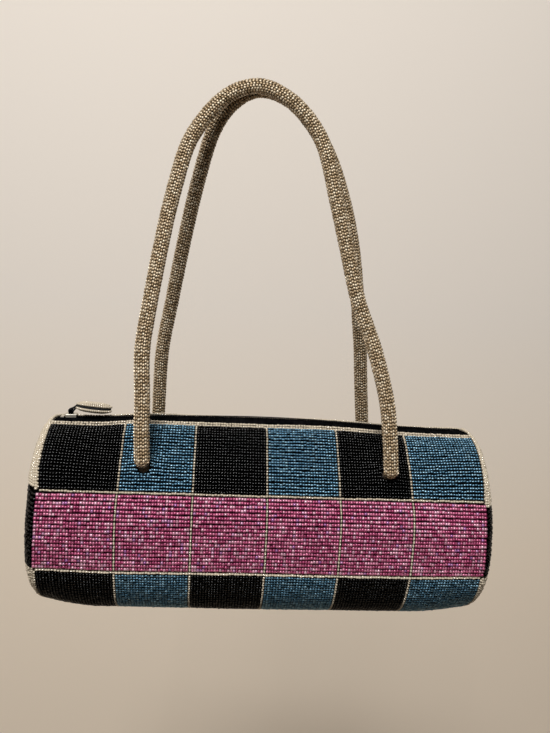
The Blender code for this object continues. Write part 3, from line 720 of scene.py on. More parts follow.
@dataclass(frozen=True)
class Barrel:
    """The barrel's form: straight, round, a little puffed between its bead lines and never quite true.

    Attributes:
        middle: the centre of the barrel's axis, in the frame's coordinates.
        sags: how far the middle of the barrel sags, at even turns from its top to its underside.
        crest_ends: where the crest beside the zip begins and ends, and over what length it fades.
        tucks: how far the underside is drawn in at the left and the right end.
        stretches: shifts of the left and the right end seam along the barrel, at the stretch turns.
        tent: share of the sag that a rope holds up where it goes in.
        rope_clear: share of a rope's hole inside which no bead has a place.
    """

    middle: Point
    radius: float = 0.063
    column_width: float = 0.046
    columns: int = 6
    rows: int = 7
    slot_width: float = 0.0214
    trim_width: float = 0.0036
    dome_height: float = 0.0129
    dome_fullness: float = 2.5
    puff: float = 0.0003
    sway: float = 0.0004
    sags: tuple[float, ...] = (
        0.0, 0.0001, -0.0034, -0.0052, -0.0051, -0.0020, -0.0026,
        -0.0016, -0.0002, 0.0014, 0.0008, 0.0003, -0.0006,
    )
    sag_margin: float = 0.042
    crest: float = 0.0024
    crest_turn: float = 0.5
    crest_ends: tuple[tuple[float, float], tuple[float, float]] = ((-0.112, 0.03), (0.108, 0.075))
    tucks: tuple[float, float] = (0.0047, 0.0032)
    tuck_length: float = 0.033
    tuck_turn: float = 2.0
    tuck_fade: float = 0.65
    droop: float = 0.038
    droop_turn: float = 1.06
    droop_reach: float = 0.45
    stretches: tuple[tuple[float, ...], tuple[float, ...]] = (
        (-0.0021, -0.0021, -0.0021, -0.0002, -0.0006, -0.0014, -0.0018, -0.0018),
        (0.0016, 0.0015, 0.0002, -0.0014, -0.0013, -0.0004, 0.0004, 0.0004),
    )
    stretch_turns: tuple[float, ...] = (0.0, 0.4, 0.85, 1.12, 1.5, 1.9, 2.3, 3.2)
    stretch_length: float = 0.04
    tent: float = 0.45
    tent_reach: float = 0.010
    rope_spread: float = 0.077
    rope_turn: float = math.radians(46.0)
    rope_hole: float = 0.0040
    rope_clear: float = 0.68
    rope_push: float = 0.0062

    @property
    def half(self) -> float:
        """Half the distance between the end seams."""
        return self.column_width * self.columns / 2

    @property
    def slot_turn(self) -> float:
        """Turn from the top to the edge of the zip's slot."""
        return math.asin(self.slot_width / 2 / self.radius)

    @property
    def first_turn(self) -> float:
        """Turn from the top to where the first row of panels begins."""
        return self.slot_turn + self.trim_width / self.radius

    @property
    def row_turn(self) -> float:
        """Turn over one row of panels."""
        return (2 * math.pi - 2 * self.first_turn) / self.rows

    def sagging(self, turn: np.ndarray) -> np.ndarray:
        """How far the middle of the barrel sags, as a smooth even curve through the table of sags."""
        count = len(self.sags) - 1
        steps = np.arange(count + 1)
        shares = np.where(steps % count == 0, 0.5, 1.0)
        waves = [2 / count * np.sum(shares * self.sags * np.cos(math.pi * steps * k / count)) for k in steps]
        return sum(share * wave * np.cos(k * turn) for k, share, wave in zip(steps, shares, waves))

    def slackness(self, along: np.ndarray) -> np.ndarray:
        """Share of the sag at a place: none at the stiff ends and all of it between the ropes."""
        return smooth((self.half - np.abs(along)) / self.sag_margin)

    def tucked(self, turn: np.ndarray) -> np.ndarray:
        """Share of the tuck at a turn: none round the top and front, and all of it underneath."""
        return smooth((from_top(turn) - self.tuck_turn) / self.tuck_fade)

    def edges_pulled(self, along: np.ndarray, turn: np.ndarray) -> np.ndarray:
        """How far the zip's edges are drawn up between the ropes, and the ends' undersides drawn in."""
        (low, low_fade), (high, high_fade) = self.crest_ends
        raised = smooth((along - low) / low_fade) * smooth((high - along) / high_fade)
        raised = raised * np.exp(-((from_top(turn) / self.crest_turn) ** 4))
        near_end = np.clip((np.abs(along) - self.half + self.tuck_length) / self.tuck_length, 0, 1) ** 1.6
        return self.crest * raised - np.where(along < 0, *self.tucks) * near_end * self.tucked(turn)

    def stretched(self, turn: np.ndarray, end: float) -> np.ndarray:
        """How far an end's seam, -1 for the left one or 1, is shifted along the barrel at a turn."""
        left, right = (np.interp(from_top(turn), self.stretch_turns, shifts) for shifts in self.stretches)
        return np.where(end < 0, left, right)

    def relief(self, along: np.ndarray, turn: np.ndarray) -> np.ndarray:
        """How far the cloth stands over or under the true cylinder."""
        across = (along + self.half) / self.column_width % 1
        down = (turn - self.first_turn) / self.row_turn % 1
        puffed = np.sqrt(np.abs(np.sin(math.pi * across) * np.sin(math.pi * down))) - 0.5
        slow = np.sin(23 * along + 1.1) * np.cos(2 * turn + 0.4)
        quick = np.sin(47 * along - 0.6) * np.sin(3 * turn + 1.9)
        held = 1.0
        for rope_along, rope_turn in self.rope_entries():
            away = np.hypot(along - rope_along, (turn - rope_turn) * self.radius)
            held = held - self.tent * np.exp(-((away / self.tent_reach) ** 2))
        slack = self.slackness(along)
        rippled = self.puff * puffed + self.sway * (0.6 * slow + 0.4 * quick)
        return slack * (held * self.sagging(turn) + rippled) + self.edges_pulled(along, turn)

    def turns_at(self, shares: np.ndarray, along: np.ndarray) -> np.ndarray:
        """Turns of places round the barrel, given in panel heights from the front of the zip.

        The panels keep their height along the cloth, so their turns shift where it sags. At the ends
        the first row of panels is a little higher than the others.
        """
        fine = np.linspace(self.first_turn, math.pi, 400)
        turns = []
        for sag in (0.0, 1.0):
            radii = self.radius + sag * self.sagging(fine)
            reached = travelled(radii * np.sin(fine), radii * np.cos(fine))
            half_way = self.rows / 2
            folded = half_way - np.abs(shares - half_way)
            turn = np.interp(folded / half_way * reached[-1], reached, fine)
            outside = np.minimum(folded, 0) * reached[-1] / half_way / self.radius
            lowered = self.droop * np.exp(-(((turn - self.droop_turn) / self.droop_reach) ** 2))
            turn = turn + outside + (1 - sag) * lowered
            turns.append(np.where(shares <= half_way, turn, 2 * math.pi - turn))
        slack = self.slackness(along)
        return turns[0] * (1 - slack) + turns[1] * slack

    def place(self, along: np.ndarray, turn: np.ndarray, height: np.ndarray | float) -> np.ndarray:
        """Points of the barrel.

        Args:
            along: distances along the barrel from its middle.
            turn: turns round it from the top towards the front.
            height: heights over the tips of the beads.

        Returns:
            One row of coordinates for each point.
        """
        out = self.radius + self.relief(along, turn) + height
        near_end = smooth(1 - (self.half - np.abs(along)) / self.stretch_length)
        along = along + near_end * self.stretched(turn, np.sign(along))
        return np.stack(
            [
                self.middle[0] + along,
                self.middle[1] - out * np.sin(turn),
                self.middle[2] + out * np.cos(turn),
            ],
            axis=-1,
        )

    def ways(self, along: np.ndarray, turn: np.ndarray) -> tuple[np.ndarray, np.ndarray, np.ndarray]:
        """Unit vectors along the cloth, round it and away from it, at points of the barrel."""
        step = 0.0005
        here = self.place(along, turn, 0.0)
        onward = unit(self.place(along + step, turn, 0.0) - here)
        down = self.place(along, turn + step / self.radius, 0.0) - here
        away = unit(np.cross(down, onward))
        return onward, np.cross(onward, away), away

    def rope_entries(self) -> list[tuple[float, float]]:
        """Distance along and turn of each place where a rope goes in."""
        turns = (self.rope_turn, 2 * math.pi - self.rope_turn)
        return [(along, turn) for turn in turns for along in (-self.rope_spread, self.rope_spread)]

    def make_room(self, along: np.ndarray, turn: np.ndarray) -> tuple[np.ndarray, np.ndarray, np.ndarray]:
        """Pushes beads aside where the ropes go in, so that their rows curve round each rope.

        Args:
            along: distances along the barrel.
            turn: turns round it.

        Returns:
            The new distances and turns, and which beads have a place left.
        """
        kept = np.ones(len(along), dtype=bool)
        for rope_along, rope_turn in self.rope_entries():
            side = along - rope_along
            down = (turn - rope_turn) * self.radius
            away = np.hypot(side, down)
            kept &= away > self.rope_clear * self.rope_hole
            push = np.sqrt(away**2 + self.rope_hole**2 * np.exp(-((away / self.rope_push) ** 2)))
            stretch = push / np.maximum(away, 1e-6)
            along = rope_along + side * stretch
            turn = rope_turn + down * stretch / self.radius
        return along, turn, kept

    def dome_rise(self, share: np.ndarray | float) -> np.ndarray | float:
        """Height of an end's dome at a share of the radius from its middle."""
        return self.dome_height * np.sqrt(np.maximum(0.0, 1 - share**self.dome_fullness))


@dataclass(frozen=True)
class Weave:
    """How beads of one kind fill a panel: counts across and down, the lines round it included."""

    across: int
    down: int
    fill_down: float
    fill_along: float = 1.03


FINE_WEAVE = Weave(26, 24, fill_down=0.66)
LARGE_WEAVE = Weave(27, 21, fill_down=0.86)


@dataclass
class Beadwork:
    """The beadwork of the barrel: panels, the bead lines between them and the zip's double lines.

    The rows of panels beside the dark bands of the ends have no pale line at the end seams.

    Attributes:
        scatter: how far beads stray across their thread and in height.
        slide: how far they stray along it.
        lean: how far their threads turn on the cloth.
        roll: how far they roll about their thread.
        small_seam: length of the seam beads beside the magenta panels, as a share of the others.
        seam_tints: what is left of the tint of the seam beads, beside the magenta panels and the others.
    """

    barrel: Barrel
    box: BeadBox
    bead_height: float = 0.0019
    scatter: float = 0.00008
    slide: float = 0.00006
    lean: float = 0.09
    roll: float = 0.28
    line_rise: float = 0.00015
    line_width: float = 0.56
    line_tint: float = 0.7
    seam_length: float = 0.00115
    small_seam: float = 0.8
    seam_tints: tuple[float, float] = (0.1, 0.8)
    trim_rises: tuple[float, float] = (-0.0003, 0.0002)
    trim_pitch: float = 0.0020
    trim_height: float = 0.0013
    unevenness: float = 0.06
    seamless_rows: tuple[int, int] = (1, 5)

    def weave(self, row: int) -> Weave:
        """The beads of a row of panels."""
        return LARGE_WEAVE if row % 2 == 1 else FINE_WEAVE

    def pitches(self, weave: Weave) -> tuple[float, float]:
        """Distance from bead to bead along a thread, and from thread to thread."""
        barrel = self.barrel
        return barrel.column_width / weave.across, barrel.row_turn * barrel.radius / weave.down

    def rows_of_beads(
        self, name: str, along: np.ndarray, shares: np.ndarray, size: Point, rise: float = 0.0
    ) -> BeadRun:
        """Beads whose threads run along the barrel.

        Args:
            name: name of the piece, which seeds its unevenness.
            along: each bead's distance along the barrel.
            shares: each bead's place round it, in panel heights from the front of the zip.
            size: a bead's length along its thread, its width and its height.
            rise: how much higher they stand than the panels' beads.

        Returns:
            The run.
        """
        barrel = self.barrel
        random = dice(name)
        along, turn, kept = barrel.make_room(along, barrel.turns_at(shares, along))
        along, turn = along[kept], turn[kept]
        count = len(along)
        wave = np.sin(along * 210 + turn * 744) + np.sin(along * 97 - turn * 408)
        turn = turn + (self.scatter * wave + random.normal(0, self.scatter, count)) / barrel.radius
        along = along + random.normal(0, self.slide, count)
        height = -size[2] / 2 + rise + random.normal(0, self.scatter, count)
        lean = random.normal(0, self.lean, count)[:, None]
        roll = random.normal(0, self.roll, count)[:, None]
        onward, down, out = barrel.ways(along, turn)
        sizes = uneven(size, count, random, self.unevenness)
        thread = onward * np.cos(lean) + down * np.sin(lean)
        across = down * np.cos(lean) - onward * np.sin(lean)
        away = out * np.cos(roll) + across * np.sin(roll)
        return BeadRun(barrel.place(along, turn, height), thread, away, sizes, random.random(count))

    def panel(self, column: int, row: int) -> None:
        """One block of one colour, between two seams and two bead lines."""
        barrel = self.barrel
        name = f"panel_c{column + 1}_r{row + 1}"
        weave = self.weave(row)
        along_pitch, down_pitch = self.pitches(weave)
        seamless = row in self.seamless_rows
        first = 0 if seamless and column == 0 else 1
        last = weave.across + (1 if seamless and column == barrel.columns - 1 else 0)
        along, shares = np.meshgrid(np.arange(first, last), np.arange(1, weave.down))
        along = along.ravel() * along_pitch - barrel.half + column * barrel.column_width
        shares = row + shares.ravel() / weave.down
        if row % 2 == 1:
            finish = MAGENTA
        else:
            finish = JET if column % 2 == 0 else STEEL_BLUE
        size = (along_pitch * weave.fill_along, down_pitch * weave.fill_down, self.bead_height)
        run = self.rows_of_beads(name, along, shares, size)
        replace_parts(self.box.sew(name, run, finish), f"bead_column_{column + 1}")

    def seam(self, index: int) -> None:
        """A line of single beads down the edge of a column, one on each thread."""
        barrel = self.barrel
        name = f"seam_beads_{index + 1}"
        runs = []
        for row in range(barrel.rows):
            if index in (0, barrel.columns) and row in self.seamless_rows:
                continue
            weave = self.weave(row)
            shares = row + np.arange(1, weave.down) / weave.down
            along = np.full(len(shares), -barrel.half + index * barrel.column_width)
            length = self.seam_length * (self.small_seam if row % 2 == 1 else 1)
            size = (length, self.pitches(weave)[1] * weave.fill_down, self.bead_height)
            run = self.rows_of_beads(f"{name}_{row}", along, shares, size, self.line_rise)
            run.tints *= self.seam_tints[0 if row % 2 == 1 else 1]
            runs.append(run)
        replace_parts(self.box.sew(name, BeadRun.joined(runs), CHAMPAGNE), f"seam_line_{index + 1}")

    def line(self, row: int) -> None:
        """A line of single beads along the barrel, after a row of panels."""
        barrel = self.barrel
        along_pitch, down_pitch = self.pitches(FINE_WEAVE)
        along = np.arange(-barrel.half + along_pitch, barrel.half - along_pitch / 2, along_pitch)
        size = (along_pitch, down_pitch * self.line_width, self.bead_height)
        name = f"row_line_{row}"
        run = self.rows_of_beads(name, along, np.full(len(along), float(row)), size, self.line_rise)
        run.tints *= self.line_tint
        columns = [f"bead_column_{column + 1}" for column in range(barrel.columns)]
        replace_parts(self.box.sew(name, run, CHAMPAGNE), *columns)

    def zip_trim(self, side: Side) -> None:
        """The double line of beads along one side of the zip, the one by the zip standing higher."""
        barrel = self.barrel
        along_pitch, down_pitch = self.pitches(FINE_WEAVE)
        panel = down_pitch * FINE_WEAVE.down
        runs = []
        name = f"zip_beads_{side.word}"
        for step, rise in enumerate(self.trim_rises):
            along = np.arange(-barrel.half + 0.0008, barrel.half, along_pitch)
            share = -(0.0001 + step * self.trim_pitch) / panel
            share = share if side is Side.FRONT else barrel.rows - share
            size = (along_pitch, self.trim_pitch * 0.8, self.trim_height)
            runs.append(self.rows_of_beads(f"{name}_{step}", along, np.full(len(along), share), size, rise))
        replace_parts(self.box.sew(name, BeadRun.joined(runs), CHAMPAGNE), f"zip_trim_{side.word}")

    def build(self) -> None:
        """Sews every panel and line."""
        for column in range(self.barrel.columns):
            for row in range(self.barrel.rows):
                self.panel(column, row)
        for index in range(self.barrel.columns + 1):
            self.seam(index)
        for row in range(1, self.barrel.rows):
            self.line(row)
        for side in Side:
            self.zip_trim(side)


@dataclass
class EndCap:
    """One domed end: pale beads that follow the rim, and a dark band of level rows across it.

    Attributes:
        bands: heights over the axis of the dark band's lowest and highest rows, at the left and the
            right end.
        rim_inset: distance of the first pale row from the rim, in rows.
        scatter: how far beads stray in height.
        turning: how far they turn out of their row.
        pale_share: highest tint that a bead takes.
        flattening: share of the dome's height that is lost where the end is tucked in.
        lowering: shares of the right dome's height that are lost everywhere, and more on its top.
        cloth_depth: how deep the cloth lies under the tips of the beads, in heights of a bead.
    """

    barrel: Barrel
    box: BeadBox
    end: End
    rim_inset: float = 0.45
    scatter: float = 0.00012
    turning: float = 0.16
    unevenness: float = 0.08
    pale_share: float = 0.6
    flattening: float = 0.8
    lowering: tuple[float, float] = (0.06, 0.13)
    cloth_depth: float = 0.8
    row_pitch: float = 0.0026
    bead_length: float = 0.00174
    bead_width: float = 0.0017
    bead_height: float = 0.0021
    bands: tuple[tuple[float, float], tuple[float, float]] = ((-0.0179, 0.0281), (-0.0187, 0.0243))
    inset: float = 0.0003

    @property
    def band(self) -> tuple[float, float]:
        """Heights over the axis of the dark band's lowest and highest rows at this end."""
        return self.bands[self.end.index]

    def lift(self, across: np.ndarray, up: np.ndarray) -> tuple[np.ndarray, np.ndarray]:
        """Places points of the round end on its dome.

        Args:
            across: distances from the axis towards the back.
            up: distances above the axis.

        Returns:
            The points, and the unit vectors that point away from the dome.
        """
        barrel = self.barrel
        away = np.hypot(across, up)
        share = np.minimum(away / barrel.radius, 1)
        rise = barrel.dome_rise(share)
        step = 1e-4
        inner, outer = np.maximum(share - step, 0), np.minimum(share + step, 1)
        slope = (barrel.dome_rise(outer) - barrel.dome_rise(inner)) / ((outer - inner) * barrel.radius)
        sign = self.end.value
        ray = np.stack([across, up], axis=-1) / np.maximum(away, 1e-9)[:, None]
        parts = [np.full(len(away), float(sign)), -slope * ray[:, 0], -slope * ray[:, 1]]
        out = unit(np.stack(parts, axis=-1))
        points = np.stack([sign * (barrel.half + self.inset + rise), across, up], axis=-1)
        return self.tucked(points) + barrel.middle, out

    def tucked(self, points: np.ndarray) -> np.ndarray:
        """Points of the true dome, about its axis, drawn in underneath as the barrel's end is."""
        barrel = self.barrel
        share = np.minimum(np.hypot(points[:, 1], points[:, 2]) / barrel.radius, 1)
        turn = np.arctan2(-points[:, 1], points[:, 2])
        tuck = barrel.tucked(turn) * share**2
        shrink = 1 - tuck * barrel.tucks[self.end.index] / barrel.radius
        flat = self.end.value * barrel.half
        lowered = 0.0
        if self.end is End.RIGHT:
            lowered = self.lowering[0] + self.lowering[1] * smooth((1.2 - np.abs(turn)) / 0.4)
        rise = (points[:, 0] - flat) * (1 - self.flattening * tuck) * (1 - lowered)
        stretch = barrel.stretched(turn, float(self.end.value)) * share**3
        return np.stack([flat + rise + stretch, points[:, 1] * shrink, points[:, 2] * shrink], axis=-1)

    def rim_distances(self) -> np.ndarray:
        """Radii of the rows that follow the rim, evenly spaced over the dome's curve."""
        barrel = self.barrel
        share = np.linspace(1, 0, 3000)
        reached = travelled(share * barrel.radius, barrel.dome_rise(share))
        wanted = np.arange(self.row_pitch * self.rim_inset, reached[-1], self.row_pitch)
        return np.interp(wanted, reached, share) * barrel.radius

    def run(self, name: str, across: np.ndarray, up: np.ndarray, threads: np.ndarray) -> BeadRun:
        """Beads at points of the end, with their threads near the given directions."""
        random = dice(name)
        points, out = self.lift(across, up)
        count = len(points)
        points = points - out * (self.bead_height / 2 + random.normal(0, self.scatter, count))[:, None]
        out = unit(out + random.normal(0, self.turning, (count, 3)))
        threads = unit(threads - out * np.sum(threads * out, axis=1)[:, None])
        size = (self.bead_length * 0.94, self.bead_width, self.bead_height)
        sizes = uneven(size, count, random, self.unevenness, 0.2)
        return BeadRun(points, threads, out, sizes, self.pale_share * random.random(count))

    def rim_rows(self) -> BeadRun:
        """The pale rows that follow the rim above and below the band."""
        name = f"end_pale_{self.end.word}"
        across, up, threads = [], [], []
        for distance in self.rim_distances():
            count = max(3, round(2 * math.pi * distance / self.bead_length))
            turn = np.arange(count) / count * 2 * math.pi
            across.append(-distance * np.sin(turn))
            up.append(distance * np.cos(turn))
            threads.append(np.stack([np.zeros(count), -np.cos(turn), -np.sin(turn)], axis=-1))
        across, up, threads = np.concatenate(across), np.concatenate(up), np.concatenate(threads)
        margin = self.row_pitch / 2
        kept = (up > self.band[1] + margin) | (up < self.band[0] - margin)
        return self.run(name, across[kept], up[kept], threads[kept])

    def band_rows(self) -> BeadRun:
        """The level rows of the dark band."""
        name = f"end_dark_{self.end.word}"
        barrel = self.barrel
        across, up = [], []
        for height in np.arange(self.band[0], self.band[1] + 1e-6, self.row_pitch):
            reach = math.sqrt((barrel.radius * 0.997) ** 2 - height**2)
            fine = np.linspace(-reach, reach, 2000)
            rise = barrel.dome_rise(np.hypot(fine, height) / barrel.radius)
            reached = travelled(fine, rise)
            count = int(reached[-1] / self.bead_length)
            wanted = (np.arange(count) + 0.5) * reached[-1] / count
            across.append(np.interp(wanted, reached, fine))
            up.append(np.full(count, height))
        across, up = np.concatenate(across), np.concatenate(up)
        threads = np.tile([0.0, 1.0, 0.0], (len(across), 1))
        return self.run(name, across, up, threads)

    def backing(self) -> bpy.types.Object:
        """The cloth dome under the beads."""
        barrel = self.barrel
        form = bmesh.new()
        shares = np.sin(np.linspace(0, math.pi / 2, 14))
        depth = self.bead_height * self.cloth_depth
        base = barrel.half + self.inset - depth
        sign = self.end.value
        profile = [
            form.verts.new((sign * (base + float(barrel.dome_rise(s))), 0, s * (barrel.radius - depth)))
            for s in shares
        ]
        edges = [form.edges.new(pair) for pair in zip(profile, profile[1:])]
        bmesh.ops.spin(
            form,
            geom=profile + edges,
            cent=(0, 0, 0),
            axis=(1, 0, 0),
            angle=2 * math.pi,
            steps=72,
            use_merge=True,
        )
        bmesh.ops.remove_doubles(form, verts=form.verts, dist=1e-5)
        bmesh.ops.recalc_face_normals(form, faces=form.faces)
        move_to(form, self.tucked(np.array([vertex.co for vertex in form.verts])) + barrel.middle)
        if sum(face.normal.x * sign * face.calc_area() for face in form.faces) < 0:
            bmesh.ops.reverse_faces(form, faces=form.faces)
        piece = mesh_piece(f"end_cloth_{self.end.word}", form)
        solidify(piece, 0.0014, -1)
        return piece

    def build(self) -> None:
        """Sews the end's beads on its cloth."""
        word = self.end.word
        pale = self.box.sew(f"end_pale_{word}", self.rim_rows(), CHAMPAGNE)
        dark = self.box.sew(f"end_dark_{word}", self.band_rows(), JET)
        for piece in (pale, dark):
            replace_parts(piece, f"end_cap_{word}")
        cloth = dress(self.backing(), BACKING)
        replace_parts(cloth, f"end_cap_{word}", f"end_lining_{word}")


@dataclass
class BarrelCloth:
    """The padded wall that the beads are sewn to, and the satin lining inside it."""

    barrel: Barrel
    wall_height: float = -0.00155
    wall: float = 0.0040
    lining_height: float = -0.0061
    lining_wall: float = 0.0005
    steps: int = 120

    def shell(self, name: str, height: float) -> bpy.types.Object:
        """A sheet round the barrel, open at the zip's slot, that follows the barrel's unevenness.

        Args:
            name: the piece's name.
            height: where it lies, over the tips of the beads.

        Returns:
            The sheet, with its faces outwards.
        """
        barrel = self.barrel
        form = bmesh.new()
        places = np.linspace(-barrel.half, barrel.half, 97)
        start, sweep = barrel.slot_turn, 2 * math.pi - 2 * barrel.slot_turn
        edge = (-math.sin(start) * barrel.radius, math.cos(start) * barrel.radius)
        line = [form.verts.new((x, *edge)) for x in places]
        edges = [form.edges.new(pair) for pair in zip(line, line[1:])]
        bmesh.ops.spin(
            form,
            geom=line + edges,
            cent=(0, 0, 0),
            axis=(1, 0, 0),
            angle=sweep,
            steps=self.steps,
            use_merge=False,
        )
        flat = np.array([vertex.co for vertex in form.verts])
        turn = np.arctan2(-flat[:, 1], flat[:, 2]) % (2 * math.pi)
        move_to(form, barrel.place(flat[:, 0], turn, height))
        bmesh.ops.recalc_face_normals(form, faces=form.faces)
        middle = Vector(barrel.middle)
        outward = sum(
            face.normal.dot((face.calc_center_median() - middle) * Vector((0, 1, 1))) for face in form.faces
        )
        if outward < 0:
            bmesh.ops.reverse_faces(form, faces=form.faces)
        return mesh_piece(name, form)

    def build(self) -> None:
        """Makes the wall and the lining."""
        wall = dress(self.shell("barrel_wall", self.wall_height), BACKING)
        solidify(wall, self.wall, -1)
        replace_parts(wall, "canvas", "padding")
        lining = dress(self.shell("barrel_lining", self.lining_height), SATIN)
        solidify(lining, self.lining_wall, -1)
        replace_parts(lining, "lining")
        log.info("barrel cloth: wall and lining")


# The rope handles


@dataclass(frozen=True)
class RopeLine:
    """A handle's centreline in its own leaning plane, from its entries to its highest point."""

    shares: tuple[tuple[float, float], ...]
    reach: float = 0.2397
    spread: float = 0.077
    entry: float = 0.326
    crown_depth: float = 0.00505

    def flat(self, step: float) -> np.ndarray:
        """Points of the line in its plane, about a step apart on a smooth curve."""
        route = np.array(self.shares) * (self.spread / self.entry, self.reach)
        padded = np.vstack([2 * route[0] - route[1], route, 2 * route[-1] - route[-2]])
        fine = []
        for before, start, end, after in zip(padded, padded[1:], padded[2:], padded[3:]):
            t = np.linspace(0, 1, 24, endpoint=False)[:, None]
            a = end - before
            b = 2 * before - 5 * start + 4 * end - after
            c = 3 * start - before - 3 * end + after
            fine.append(start + (a * t + b * t**2 + c * t**3) / 2)
        fine = np.vstack(fine + [route[-1:]])
        reached = travelled(fine[:, 0], fine[:, 1])
        wanted = np.linspace(0, reached[-1], max(2, round(reached[-1] / step)) + 1)
        return np.stack([np.interp(wanted, reached, fine[:, k]) for k in (0, 1)], axis=-1)


FRONT_LINE = RopeLine(
    (
        (-0.330, 0.006), (-0.334, 0.080), (-0.335, 0.157), (-0.341, 0.285), (-0.326, 0.415), (-0.307, 0.546),
        (-0.284, 0.679), (-0.252, 0.814), (-0.222, 0.878), (-0.185, 0.931), (-0.152, 0.964), (-0.122, 0.984),
        (-0.090, 0.996), (-0.061, 1.000), (-0.031, 0.995), (0.002, 0.980), (0.040, 0.955), (0.085, 0.906),
        (0.123, 0.836), (0.157, 0.705), (0.190, 0.573), (0.223, 0.441), (0.272, 0.311), (0.308, 0.181),
        (0.322, 0.080), (0.329, -0.003),
    )
)
BACK_LINE = RopeLine(
    (
        (-0.320, 0.000), (-0.319, 0.094), (-0.312, 0.251), (-0.286, 0.406), (-0.260, 0.554), (-0.232, 0.697),
        (-0.205, 0.811), (-0.186, 0.875), (-0.163, 0.921), (-0.138, 0.954), (-0.108, 0.980), (-0.069, 0.998),
        (-0.028, 0.998), (0.009, 0.986), (0.048, 0.963), (0.095, 0.916), (0.140, 0.853), (0.173, 0.789),
        (0.200, 0.721), (0.223, 0.652), (0.242, 0.581), (0.257, 0.507), (0.270, 0.433), (0.282, 0.356),
        (0.294, 0.278), (0.304, 0.190), (0.315, 0.100), (0.326, 0.000),
    )
)


